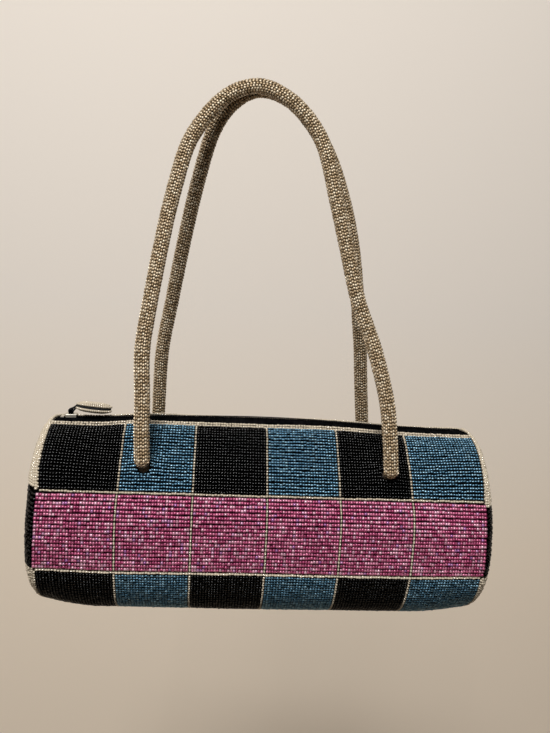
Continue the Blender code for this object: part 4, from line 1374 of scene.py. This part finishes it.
@dataclass
class RopeHandle:
    """One handle: rings of beads in a zigzag round a cotton core, bending where it leaves the bag.

    Attributes:
        root_shift: how far the rope's ends are moved inwards and upwards, to meet the sagged barrel.
        root_reach: share of the handle's reach over which that shift fades.
        end_angles: angles in degrees of the rings that round an end off.
        turning: how far beads stray round their ring, in beads.
        leaning: how far they turn out of the zigzag.
        scatter: how far they stray away from the core.
        slide: how far they stray along the rope.
    """

    barrel: Barrel
    box: BeadBox
    side: Side
    line: RopeLine
    body: Body
    pivot: Point
    radius: float = 0.0049
    ring_pitch: float = 0.00205
    beads_round: int = 18
    bead_length: float = 0.00146
    bead_width: float = 0.00188
    bead_height: float = 0.0017
    zigzag: float = 0.00026
    tilt: float = math.radians(24)
    bend_length: float = 0.026
    root_shift: tuple[float, float] = (0.0034, -0.0015)
    root_reach: float = 0.06
    end_angles: tuple[float, ...] = (22, 44, 64, 82)
    turning: float = 0.03
    leaning: float = 0.05
    scatter: float = 0.00006
    slide: float = 0.00005
    unevenness: float = 0.05
    plug_radius: float = 0.0034
    plug_depth: float = 0.0012
    disc_radius: float = 0.0074
    disc_depth: float = 0.0062
    foot_depth: float = 0.0074

    def axes(self) -> tuple[np.ndarray, np.ndarray, np.ndarray]:
        """The plane's directions: along the barrel, up the handle and square to both."""
        lean = math.asin((abs(self.pivot[1]) - self.line.crown_depth) / self.line.reach)
        up = np.array([0, -self.side.value * math.sin(lean), math.cos(lean)])
        along = np.array([1.0, 0, 0])
        return along, up, np.cross(along, up)

    def centreline(self, step: float) -> tuple[np.ndarray, np.ndarray]:
        """Points about a step apart along the rope, and the rope's direction at each."""
        along, up, _ = self.axes()
        flat = self.line.flat(step)
        points = np.array(self.pivot) + flat[:, :1] * along + flat[:, 1:] * up
        share = np.clip(1 - flat[:, 1] / self.root_reach, 0, 1) ** 2
        inwards, upwards = self.root_shift
        points += share[:, None] * (0, -self.side.value * inwards, upwards)
        return points, unit(np.gradient(points, axis=0))

    def ring(
        self,
        centre: np.ndarray,
        way: np.ndarray,
        count: int,
        radius: float,
        swell: float,
        random: np.random.Generator,
    ) -> BeadRun:
        """One ring of beads round the rope.

        Args:
            centre: the ring's middle.
            way: the rope's direction there.
            count: how many beads it has.
            radius: from the middle to the beads' tips.
            swell: sine of the angle by which the beads face along the rope, at a rounded end.
            random: the source of unevenness.

        Returns:
            The run.
        """
        _, _, square = self.axes()
        side = np.cross(way, square)
        turn = (np.arange(count) + random.normal(0, self.turning, count)) / count * 2 * math.pi
        ray = np.cos(turn)[:, None] * square + np.sin(turn)[:, None] * side
        round_way = -np.sin(turn)[:, None] * square + np.cos(turn)[:, None] * side
        sign = np.where(np.arange(count) % 2 == 0, 1.0, -1.0)
        lean = sign * self.tilt + random.normal(0, self.leaning, count)
        out = ray * math.sqrt(1 - swell**2) + way * swell
        onward = way * math.sqrt(1 - swell**2) - ray * swell
        thread = round_way * np.cos(lean)[:, None] + onward * np.sin(lean)[:, None]
        away = radius - self.bead_height / 2 + random.normal(0, self.scatter, count)
        further = sign * self.zigzag + random.normal(0, self.slide, count)
        centres = centre + ray * away[:, None] + onward * further[:, None]
        size = (self.bead_length, self.bead_width, self.bead_height)
        sizes = uneven(size, count, random, self.unevenness)
        return BeadRun(centres, thread, out, sizes, random.random(count))

    def beads(self) -> BeadRun:
        """Every ring of the rope, with its two rounded ends."""
        random = dice(f"rope_beads_{self.side.word}")
        points, ways = self.centreline(self.ring_pitch)
        runs = []
        for point, way in zip(points, ways):
            runs.append(self.ring(point, way, self.beads_round, self.radius, 0.0, random))
        for point, way in ((points[0], -ways[0]), (points[-1], ways[-1])):
            for angle in self.end_angles:
                sine, cosine = math.sin(math.radians(angle)), math.cos(math.radians(angle))
                inner = self.radius - self.bead_height / 2
                count = max(2, round(self.beads_round * cosine / 2) * 2)
                radius = inner * cosine + self.bead_height / 2
                runs.append(self.ring(point + way * inner * sine, way, count, radius, sine, random))
        return BeadRun.joined(runs)

    def core(self) -> bpy.types.Object:
        """The cotton core that shows between the beads."""
        points, ways = self.centreline(0.004)
        reach = self.radius - self.bead_height
        points = np.vstack([points[0] - ways[0] * reach * 0.3, points, points[-1] + ways[-1] * reach * 0.3])
        return curve_tube(f"rope_core_{self.side.word}", points, reach + 0.0004, 4)

    def root(self, end: End) -> None:
        """The end of the rope inside the bag: a bound plug under the beads and a sewn disc behind."""
        barrel = self.barrel
        turn = barrel.rope_turn
        form = bmesh.new()
        along = end.value * barrel.rope_spread
        surface = barrel.radius + float(barrel.relief(np.array(along), np.array(turn)))
        foot = surface - self.foot_depth
        plug = (self.plug_radius, surface - self.plug_depth)
        disc = (self.disc_radius, surface - self.disc_depth)
        for radius, high in (plug, disc):
            made = bmesh.ops.create_cone(
                form, cap_ends=True, segments=28, radius1=radius, radius2=radius, depth=high - foot
            )
            bmesh.ops.translate(form, verts=made["verts"], vec=(0, 0, (foot + high) / 2))
        bmesh.ops.bevel(
            form, geom=form.edges[:], offset=0.0003, segments=2, profile=0.5, affect="EDGES", material=-1
        )
        bmesh.ops.rotate(form, verts=form.verts, matrix=Matrix.Rotation(-self.side.value * turn, 3, "X"))
        place = Vector(barrel.middle) + Vector((along, 0, 0))
        bmesh.ops.translate(form, verts=form.verts, vec=place)
        piece = dress(mesh_piece(f"rope_root_{self.side.word}_{end.word}", form), COTTON)
        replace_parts(piece, f"rope_anchor_{self.side.word}_{end.word}")

    def build(self) -> None:
        """Makes the rope, its core and the roots where its ends go into the bag."""
        rope = self.box.sew(f"rope_beads_{self.side.word}", self.beads(), ROPE_GOLD, None)
        core = dress(self.core(), COTTON, None)
        for piece in (rope, core):
            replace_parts(piece, f"handle_{self.side.word}")
            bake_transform(piece)
        for end_of_rope in End:
            self.root(end_of_rope)


# The zip


@dataclass
class Zip:
    """The zip: two tapes and their coils in short lengths; the lengths by the open mouth and the slider's post
    get meshes of their own.

    Attributes:
        edge: distance from the zip's middle to a tape's outer edge.
        edge_drop: how much lower the outer edges lie than the middle.
        arch: how far the middle of the zip is arched up, at distances along it.
        parting: distance from the zip's middle to a tape's inner edge.
        end_margin: how much shorter than the barrel the tapes are at each end.
        coil_reach: how far the turns of one coil reach over the middle.
        coil_turn: a turn's thickness along the zip and its height.
        coil_lean: how far the turns lean.
        coil_rise: how much higher the turns lie than the tapes.
        enamel_drop: how far below the pin the slider's black enamel begins.
        mouth_share: share of the width that the widest part of the open mouth gives up.
        fall: how steeply a tape would go down as it is pushed aside; not used.
        far: distance of the still end of a coil length's squash; not used.
        post_end: where the turns end by the open slider's post, whose lengths get meshes of their own.
    """

    barrel: Barrel
    tape_height: float = 0.0622
    edge_drop: float = 0.001
    arch: tuple[tuple[float, float], ...] = (
        (-0.138, 0.0), (-0.122, 0.0), (-0.110, 0.0006), (-0.095, 0.0011), (-0.078, 0.0022), (-0.060, 0.0030),
        (-0.035, 0.0037), (-0.010, 0.0042), (0.010, 0.0041), (0.032, 0.0036), (0.050, 0.0027), (0.072, 0.0016),
        (0.091, 0.0009), (0.108, 0.0006), (0.117, -0.0002), (0.126, 0.0), (0.131, 0.0004), (0.134, 0.0006),
        (0.138, -0.0016),
    )
    edge: float = 0.01025
    parting: float = 0.0009
    tape_wall: float = 0.0005
    lengths: int = 60
    end_margin: float = 0.0003
    coil_pitch: float = 0.00148
    coil_start: float = -0.1338
    coil_end: float = 0.1310
    coil_reach: float = 0.0007
    coil_width: float = 0.0023
    coil_rise: float = 0.00078
    coil_turn: tuple[float, float] = (0.00095, 0.0009)
    coil_lean: float = math.radians(9)
    enamel_drop: float = 0.0011
    mouth_share: float = 0.72
    fall: float = math.radians(16)
    far: float = 1.0
    mouth_start: float = -0.133
    mouth_end: float = 0.1146
    post_end: float = 0.1195
    post_share: float = 0.5

    def height(self, along: float, across: float) -> float:
        """Height of a tape's middle over the barrel's axis."""
        share = abs(across) / self.edge
        rise = float(np.interp(along, *zip(*self.arch)))
        return self.tape_height - self.edge_drop * share + rise * max(0.0, 1 - share) ** 0.8

    def settle(self, form: bmesh.types.BMesh, rise: float) -> None:
        """Lifts a flat form, modelled about the zip's middle, on to the arched zip."""
        middle = Vector(self.barrel.middle)
        for vertex in form.verts:
            vertex.co.z += rise + self.height(vertex.co.x, vertex.co.y)
            vertex.co += middle

    def keep_at(self, along: float) -> float:
        """Share of a tape's width left at a place when the zip is fully open."""
        share = (along - self.mouth_start) / (self.mouth_end - self.mouth_start)
        if not 0 < share < 1:
            return 1.0
        return 1 - self.mouth_share * math.sin(math.pi * share) ** 0.6

    @property
    def step(self) -> float:
        """How long each short length is."""
        return 2 * (self.barrel.half - self.end_margin) / self.lengths

    def low(self, index: int) -> float:
        """Where a short length begins."""
        return -self.barrel.half + self.end_margin + index * self.step

    def tape_length(self, side: Side, index: int) -> None:
        """A short length of tape with its woven edge, with a mesh of its own where the zip opens."""
        step, low = self.step, self.low(index)
        form = bmesh.new()
        bmesh.ops.create_grid(form, x_segments=2, y_segments=8, size=0.5)
        for vertex in form.verts:
            vertex.co.x = low + (vertex.co.x + 0.5) * step
            vertex.co.y = self.parting + (vertex.co.y + 0.5) * (self.edge - self.parting)
            vertex.co.y *= side.value
        if side is Side.FRONT:
            bmesh.ops.reverse_faces(form, faces=form.faces)
        self.settle(form, 0.0)
        piece = dress(mesh_piece(f"zip_tape_{side.word}_{index + 1:02d}", form), TAPE)
        solidify(piece, self.tape_wall, 0)
        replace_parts(piece, f"zip_tape_{side.word}")
        keep = self.keep_at(low + step / 2)
        if keep < 1:
            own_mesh(piece)

    def coil_length(self, side: Side, index: int) -> None:
        """The turns of one coil over a short length, with a mesh of their own where the zip opens or by the
        slider's post.
        """
        step, low = self.step, self.low(index)
        offset = 0.5 if side is Side.BACK else 0.0
        turns = np.arange(self.coil_start, self.coil_end, self.coil_pitch) + offset * self.coil_pitch
        form = bmesh.new()
        for along in turns[(turns >= low) & (turns < low + step)]:
            made = bmesh.ops.create_uvsphere(form, u_segments=6, v_segments=4, radius=0.5)
            bmesh.ops.rotate(form, verts=made["verts"], matrix=Matrix.Rotation(math.pi / 2, 3, "X"))
            length = self.coil_width + self.coil_reach
            bmesh.ops.scale(form, verts=made["verts"], vec=(self.coil_turn[0], length, self.coil_turn[1]))
            lean = Matrix.Rotation(side.value * self.coil_lean, 3, "Z")
            bmesh.ops.rotate(form, verts=made["verts"], matrix=lean)
            middle = side.value * (self.coil_width - self.coil_reach) / 2
            bmesh.ops.translate(form, verts=made["verts"], vec=(along, middle, 0))
        if not form.verts:
            form.free()
            return
        self.settle(form, self.coil_rise)
        piece = dress(mesh_piece(f"zip_coil_{side.word}_{index + 1:02d}", form), NYLON)
        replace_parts(piece, f"zip_coil_{side.word}")
        keep = self.keep_at(low + step / 2)
        if keep < 1:
            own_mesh(piece)
        elif self.mouth_end < low + step / 2 < self.post_end:
            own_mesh(piece)

    def build(self) -> None:
        """Makes both sides in their short lengths and gives the slider and stops their finish."""
        for side in Side:
            for index in range(self.lengths):
                self.tape_length(side, index)
                self.coil_length(side, index)
        for side in Side:
            repaint(f"zip_stop_{side.word}_closed", PALE_METAL)
            repaint(f"zip_stop_{side.word}_open", NYLON)
        body = repaint("slider_body", PALE_METAL, BLACK_METAL)
        edge = joint("pull_hinge")["pos_m"][2] - self.enamel_drop
        for face in body.data.polygons:
            face.material_index = int((body.matrix_world @ face.center).z > edge)
        log.info("zip: %d lengths on each side", self.lengths)


@dataclass
class Pull:
    """The zip's pull: a black strap round the slider's pin and an oval pad of two beaded layers.

    Attributes:
        strap_reach: distance from the pin to the pad's mouth, where the strap goes in.
        strap_bulge: where between pin and mouth the strap is thickest, and by how much.
        tongue: how deep it goes in.
        bore: radius of its eye.
        layer_gap: distance from the pad's middle to the foot of each layer.
        row_step: distance between rows, as a share of a bead's width.
        bead_fill: share of its row's width that a bead fills.
        edge_turn: how far the beads at the edge face outwards.
        pale_share: highest tint that a bead takes.
        cloth_inset: how far inside the beads the cloth ends.
        core_inset: how far inside the pad's edge its core ends.
        crown: how much higher the middle of a layer is than its edge.
    """

    box: BeadBox
    pin: Point
    strap_width: float = 0.0026
    strap_wall: float = 0.0011
    strap_reach: float = 0.0044
    tongue: float = 0.009
    bore: float = 0.00075
    pad_length: float = 0.0243
    pad_width: float = 0.0172
    pad_distance: float = 0.0150
    pad_rise: float = 0.0027
    pad_tilt: float = math.radians(5)
    pad_roll: float = math.radians(6)
    bead_length: float = 0.00128
    bead_width: float = 0.0019
    bead_height: float = 0.0015
    crown: float = 0.0021
    strap_bulge: tuple[float, float] = (0.42, 1.1)
    layer_gap: float = 0.00005
    row_step: float = 0.96
    bead_fill: float = 0.84
    edge_turn: float = 0.55
    unevenness: float = 0.06
    pale_share: float = 0.55
    cloth_inset: float = 0.0008
    cloth_rise: float = 0.0006
    core_inset: float = 0.0012

    def pad_axes(self) -> tuple[np.ndarray, np.ndarray, np.ndarray, np.ndarray]:
        """The pad's middle, and its directions along, across and up."""
        cosine, sine = math.cos(self.pad_tilt), math.sin(self.pad_tilt)
        middle = np.array(self.pin) + np.array([self.pad_distance, 0, self.pad_rise])
        along = np.array([cosine, 0, -sine])
        across = np.array([0, math.cos(self.pad_roll), -math.sin(self.pad_roll)])
        up = np.cross(along, across)
        return middle, along, across, up / np.linalg.norm(up)

    def strap(self) -> None:
        """The strap: once round the pin, up in a soft curve and in between the pad's layers."""
        middle, along, _, _ = self.pad_axes()
        pin = np.array(self.pin)
        mouth = middle - along * (self.pad_distance - self.strap_reach)
        rise = mouth - pin
        way = rise / np.linalg.norm(rise)
        over = np.cross(way, [0, 1.0, 0])
        eye = self.bore + self.strap_wall / 2
        turns = np.linspace(math.pi / 2, 3 * math.pi / 2, 10)
        path = [pin + way * math.cos(a) * eye + over * math.sin(a) * eye for a in turns]
        half = over * self.strap_wall / 2
        share, bulge = self.strap_bulge
        path = [mouth + along * self.tongue, mouth + half, pin + rise * share + half * bulge, *path]
        path += [pin + rise * share - half * bulge, mouth - half]
        edge = np.array([0, self.strap_width / 2, 0])
        form = strip([point - edge for point in path], (0, self.strap_width, 0))
        piece = dress(mesh_piece("pull_strap_cloth", form), STRAP, Body.PULL)
        solidify(piece, self.strap_wall, 0)
        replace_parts(piece, "pull_strap")

    def pad_row(self, row: int, sign: int, random: np.random.Generator) -> BeadRun:
        """One oval row of beads on a layer of the pad.

        Args:
            row: the row's number, from the edge inwards.
            sign: 1 on the upper layer, -1 on the lower one.
            random: the source of unevenness.

        Returns:
            The run.
        """
        middle, along, across, up = self.pad_axes()
        base = middle + up * sign * self.layer_gap
        shrink = self.bead_width / 2 + row * self.bead_width * self.row_step
        half_long = max(self.pad_length / 2 - shrink, 0.0006)
        half_wide = max(self.pad_width / 2 - shrink, 0.0)
        fine = np.linspace(0, 2 * math.pi, 400)
        x, y = half_long * np.cos(fine), half_wide * np.sin(fine)
        reached = travelled(x, y)
        count = max(2, int(reached[-1] / self.bead_length))
        wanted = np.arange(count) / count * reached[-1]
        x, y = np.interp(wanted, reached, x), np.interp(wanted, reached, y)
        ahead = np.interp((wanted + 1e-4) % reached[-1], reached, fine)
        tangent = np.stack([-half_long * np.sin(ahead), half_wide * np.cos(ahead)], axis=-1)
        tangent /= np.maximum(np.linalg.norm(tangent, axis=1), 1e-9)[:, None]
        share = np.hypot(x / (self.pad_length / 2), y / (self.pad_width / 2))
        rise = self.crown * (1 - share**4) + self.bead_height / 2
        centres = base + x[:, None] * along + y[:, None] * across + (sign * rise)[:, None] * up
        threads = tangent[:, :1] * along + tangent[:, 1:] * across
        ray = np.cross(threads, up)
        ray = ray * np.sign(ray @ along * x + ray @ across * y)[:, None]
        out = unit(sign * up + ray * (self.edge_turn * share**3)[:, None])
        size = (self.bead_length, self.bead_width * self.bead_fill, self.bead_height)
        sizes = uneven(size, count, random, self.unevenness)
        return BeadRun(centres, threads, out, sizes, self.pale_share * random.random(count))

    def layer(self, word: str, sign: int) -> None:
        """One beaded layer of the pad: oval rows of beads over a low crown, and the cloth under them."""
        random = dice(word)
        rows = int((self.pad_width / 2) / self.bead_width)
        runs = [self.pad_row(row, sign, random) for row in range(rows + 1)]
        piece = self.box.sew(f"pad_beads_{word}", BeadRun.joined(runs), CHAMPAGNE, Body.PULL)
        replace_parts(piece, f"pull_pad_{word}")
        cloth = dress(self.layer_cloth(word, sign), STRAP, Body.PULL)
        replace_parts(cloth, f"pull_pad_{word}")

    def layer_cloth(self, word: str, sign: int) -> bpy.types.Object:
        """The low crown of cloth under a layer's beads, flat on the core."""
        middle, along, across, up = self.pad_axes()
        form = bmesh.new()
        bmesh.ops.create_uvsphere(form, u_segments=40, v_segments=12, radius=1)
        bmesh.ops.bisect_plane(
            form,
            geom=form.verts[:] + form.edges[:] + form.faces[:],
            plane_co=(0, 0, 0),
            plane_no=(0, 0, -1),
            clear_outer=True,
        )
        bmesh.ops.holes_fill(form, edges=[edge for edge in form.edges if edge.is_boundary], sides=0)
        turn = Matrix((tuple(along), tuple(across), tuple(up))).transposed()
        size = (
            self.pad_length / 2 - self.cloth_inset,
            self.pad_width / 2 - self.cloth_inset,
            sign * (self.crown + self.cloth_rise),
        )
        bmesh.ops.scale(form, verts=form.verts, vec=size)
        bmesh.ops.transform(form, verts=form.verts, matrix=turn.to_4x4())
        bmesh.ops.translate(form, verts=form.verts, vec=middle + up * sign * self.layer_gap)
        bmesh.ops.recalc_face_normals(form, faces=form.faces)
        return mesh_piece(f"pad_cloth_{word}", form)

    def core(self) -> None:
        """The dark core between the pad's layers."""
        middle, along, across, up = self.pad_axes()
        form = bmesh.new()
        bmesh.ops.create_circle(form, cap_ends=True, segments=48, radius=1)
        size = (self.pad_length / 2 - self.core_inset, self.pad_width / 2 - self.core_inset, 1)
        bmesh.ops.scale(form, verts=form.verts, vec=size)
        turn = Matrix((tuple(along), tuple(across), tuple(up))).transposed()
        bmesh.ops.transform(form, verts=form.verts, matrix=turn.to_4x4())
        bmesh.ops.translate(form, verts=form.verts, vec=middle - up * self.strap_wall / 2)
        grown = bmesh.ops.extrude_face_region(form, geom=form.faces[:])["geom"]
        lifted = [item for item in grown if isinstance(item, bmesh.types.BMVert)]
        bmesh.ops.translate(form, verts=lifted, vec=up * self.strap_wall)
        bmesh.ops.recalc_face_normals(form, faces=form.faces)
        piece = dress(mesh_piece("pad_core_cloth", form, rounded=False), STRAP, Body.PULL)
        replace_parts(piece, "pull_pad_core")

    def build(self) -> None:
        """Makes the strap and the pad."""
        self.strap()
        self.layer("top", 1)
        self.layer("bottom", -1)
        self.core()
        log.info("pull: strap and pad")


# What stands round the bag


@dataclass(frozen=True)
class Studio:
    """The camera at the photograph's angle, a pale floor and backdrop, and soft plain light."""

    middle: Point
    place: Point = (-0.03539, -0.50075, 0.16512)
    yaw: float = math.radians(-4.58)
    pitch: float = math.radians(-7.17)
    roll: float = math.radians(-2.94)
    focal_pixels: float = 750.0
    image_height: float = 733.0
    sensor: float = 24.0
    floor_drop: float = 3.0
    backdrop_distance: float = 0.85
    backdrop_bend: float = 0.35
    backdrop_reach: float = 3.0
    room_light: float = 0.045
    room_paleness: float = 0.7

    def camera(self) -> None:
        """Sets up the camera, from a place given from the barrel's middle."""
        turn = Matrix.Rotation(self.yaw, 3, "Z") @ Matrix.Rotation(self.pitch, 3, "X")
        turn = turn @ Matrix.Rotation(self.roll, 3, "Y")
        right, forward, up = turn.col[0], turn.col[1], turn.col[2]
        data = bpy.data.cameras.new("camera")
        data.sensor_fit = "VERTICAL"
        data.sensor_height = self.sensor
        data.lens = self.sensor * self.focal_pixels / self.image_height
        data.clip_start = 0.01
        camera = link(bpy.data.objects.new("camera", data))
        basis = Matrix((right, up, -forward)).transposed().to_4x4()
        camera.matrix_world = Matrix.Translation(Vector(self.middle) + Vector(self.place)) @ basis
        bpy.context.scene.camera = camera

    def backdrop(self) -> None:
        """A pale sheet that curves up from the floor behind the bag, painted lighter and warmer low down,
        where the lamp's light falls off.
        """
        low = self.middle[2] - self.floor_drop
        back = self.backdrop_distance
        bend = self.backdrop_bend
        outline = [(-self.backdrop_reach, low)]
        for step in range(13):
            angle = math.pi / 2 * step / 12
            outline.append((back - bend + bend * math.sin(angle), low + bend - bend * math.cos(angle)))
        outline.append((back, self.backdrop_reach))
        path = [(-self.backdrop_reach, y, z) for y, z in outline]
        piece = mesh_piece("backdrop", strip(path, (2 * self.backdrop_reach, 0, 0)))
        sheet = NodeSheet("pale_paper")
        place = sheet.add("ShaderNodeTexCoord")
        height = sheet.add("ShaderNodeSeparateXYZ")
        sheet.join(place.outputs["Object"], height.inputs[0])
        share = sheet.add("ShaderNodeMapRange")
        share.inputs["From Min"].default_value = self.middle[2] - 0.35
        share.inputs["From Max"].default_value = self.middle[2] + 0.1
        sheet.join(height.outputs["Z"], share.inputs["Value"])
        # Painted light: the paper is lighter and warmer towards the floor, making up for the overhead lamp's
        # light falling off low down.
        tones = ((0.0, linear(255, 238, 216)), (1.0, linear(245, 235, 223)))
        sheet.paint(tones, share.outputs["Result"])
        sheet.fix(Roughness=0.9, Specular_IOR_Level=0.1)
        piece.data.materials.append(sheet.material)

    def lamp(self, name: str, place: Point, size: float, power: float) -> None:
        """A square soft lamp that faces the bag, from a place given from the barrel's middle."""
        data = bpy.data.lights.new(name, "AREA")
        data.shape = "SQUARE"
        data.size = size
        data.energy = power
        lamp = link(bpy.data.objects.new(name, data))
        lamp.location = Vector(self.middle) + Vector(place)
        aim = Vector((0, 0, 0.08)) - Vector(place)
        lamp.rotation_euler = aim.to_track_quat("-Z", "Y").to_euler()

    def light(self) -> None:
        """A lamp above the front, a weak one from the side and a dim room."""
        self.lamp("overhead", (-0.35, -1.45, 1.75), 0.75, 65.0)
        self.lamp("side", (-1.2, -1.4, 0.3), 1.0, 1.6)
        world = bpy.data.worlds.new("room")
        world.use_nodes = True
        tree = world.node_tree
        room = tree.nodes["Background"]
        room.inputs["Color"].default_value = (*linear(235, 228, 218), 1.0)
        ray = tree.nodes.new("ShaderNodeLightPath")
        level = tree.nodes.new("ShaderNodeMapRange")
        level.inputs["To Min"].default_value = self.room_light
        level.inputs["To Max"].default_value = self.room_paleness
        tree.links.new(ray.outputs["Is Camera Ray"], level.inputs["Value"])
        tree.links.new(level.outputs["Result"], room.inputs["Strength"])
        bpy.context.scene.world = world
        bpy.context.scene.view_settings.view_transform = "Standard"

    def build(self) -> None:
        """Sets up camera, backdrop and light."""
        self.camera()
        self.backdrop()
        self.light()


def bag_middle() -> Point:
    """Centre of the barrel's axis: the middle of the canvas along it, at the height of an end's middle."""
    low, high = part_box("end_cap_left")
    left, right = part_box("canvas")
    return ((left[0] + right[0]) / 2, 0.0, (low[2] + high[2]) / 2)


def main() -> None:
    """Builds every sub-assembly in order."""
    logging.basicConfig(level=logging.INFO, format="%(message)s")
    middle = bag_middle()
    barrel = Barrel(middle)
    box = BeadBox()
    Studio(middle).build()
    for side, line, body in (
        (Side.FRONT, FRONT_LINE, Body.FRONT_HANDLE),
        (Side.BACK, BACK_LINE, Body.BACK_HANDLE),
    ):
        pivot = tuple(joint(f"{side.word}_handle_hinge")["pos_m"])
        RopeHandle(barrel, box, side, line, body, pivot).build()
    Beadwork(barrel, box).build()
    for end in End:
        EndCap(barrel, box, end).build()
    BarrelCloth(barrel).build()
    Zip(barrel).build()
    Pull(box, tuple(joint("pull_hinge")["pos_m"])).build()


if __name__ == "__main__":
    main()
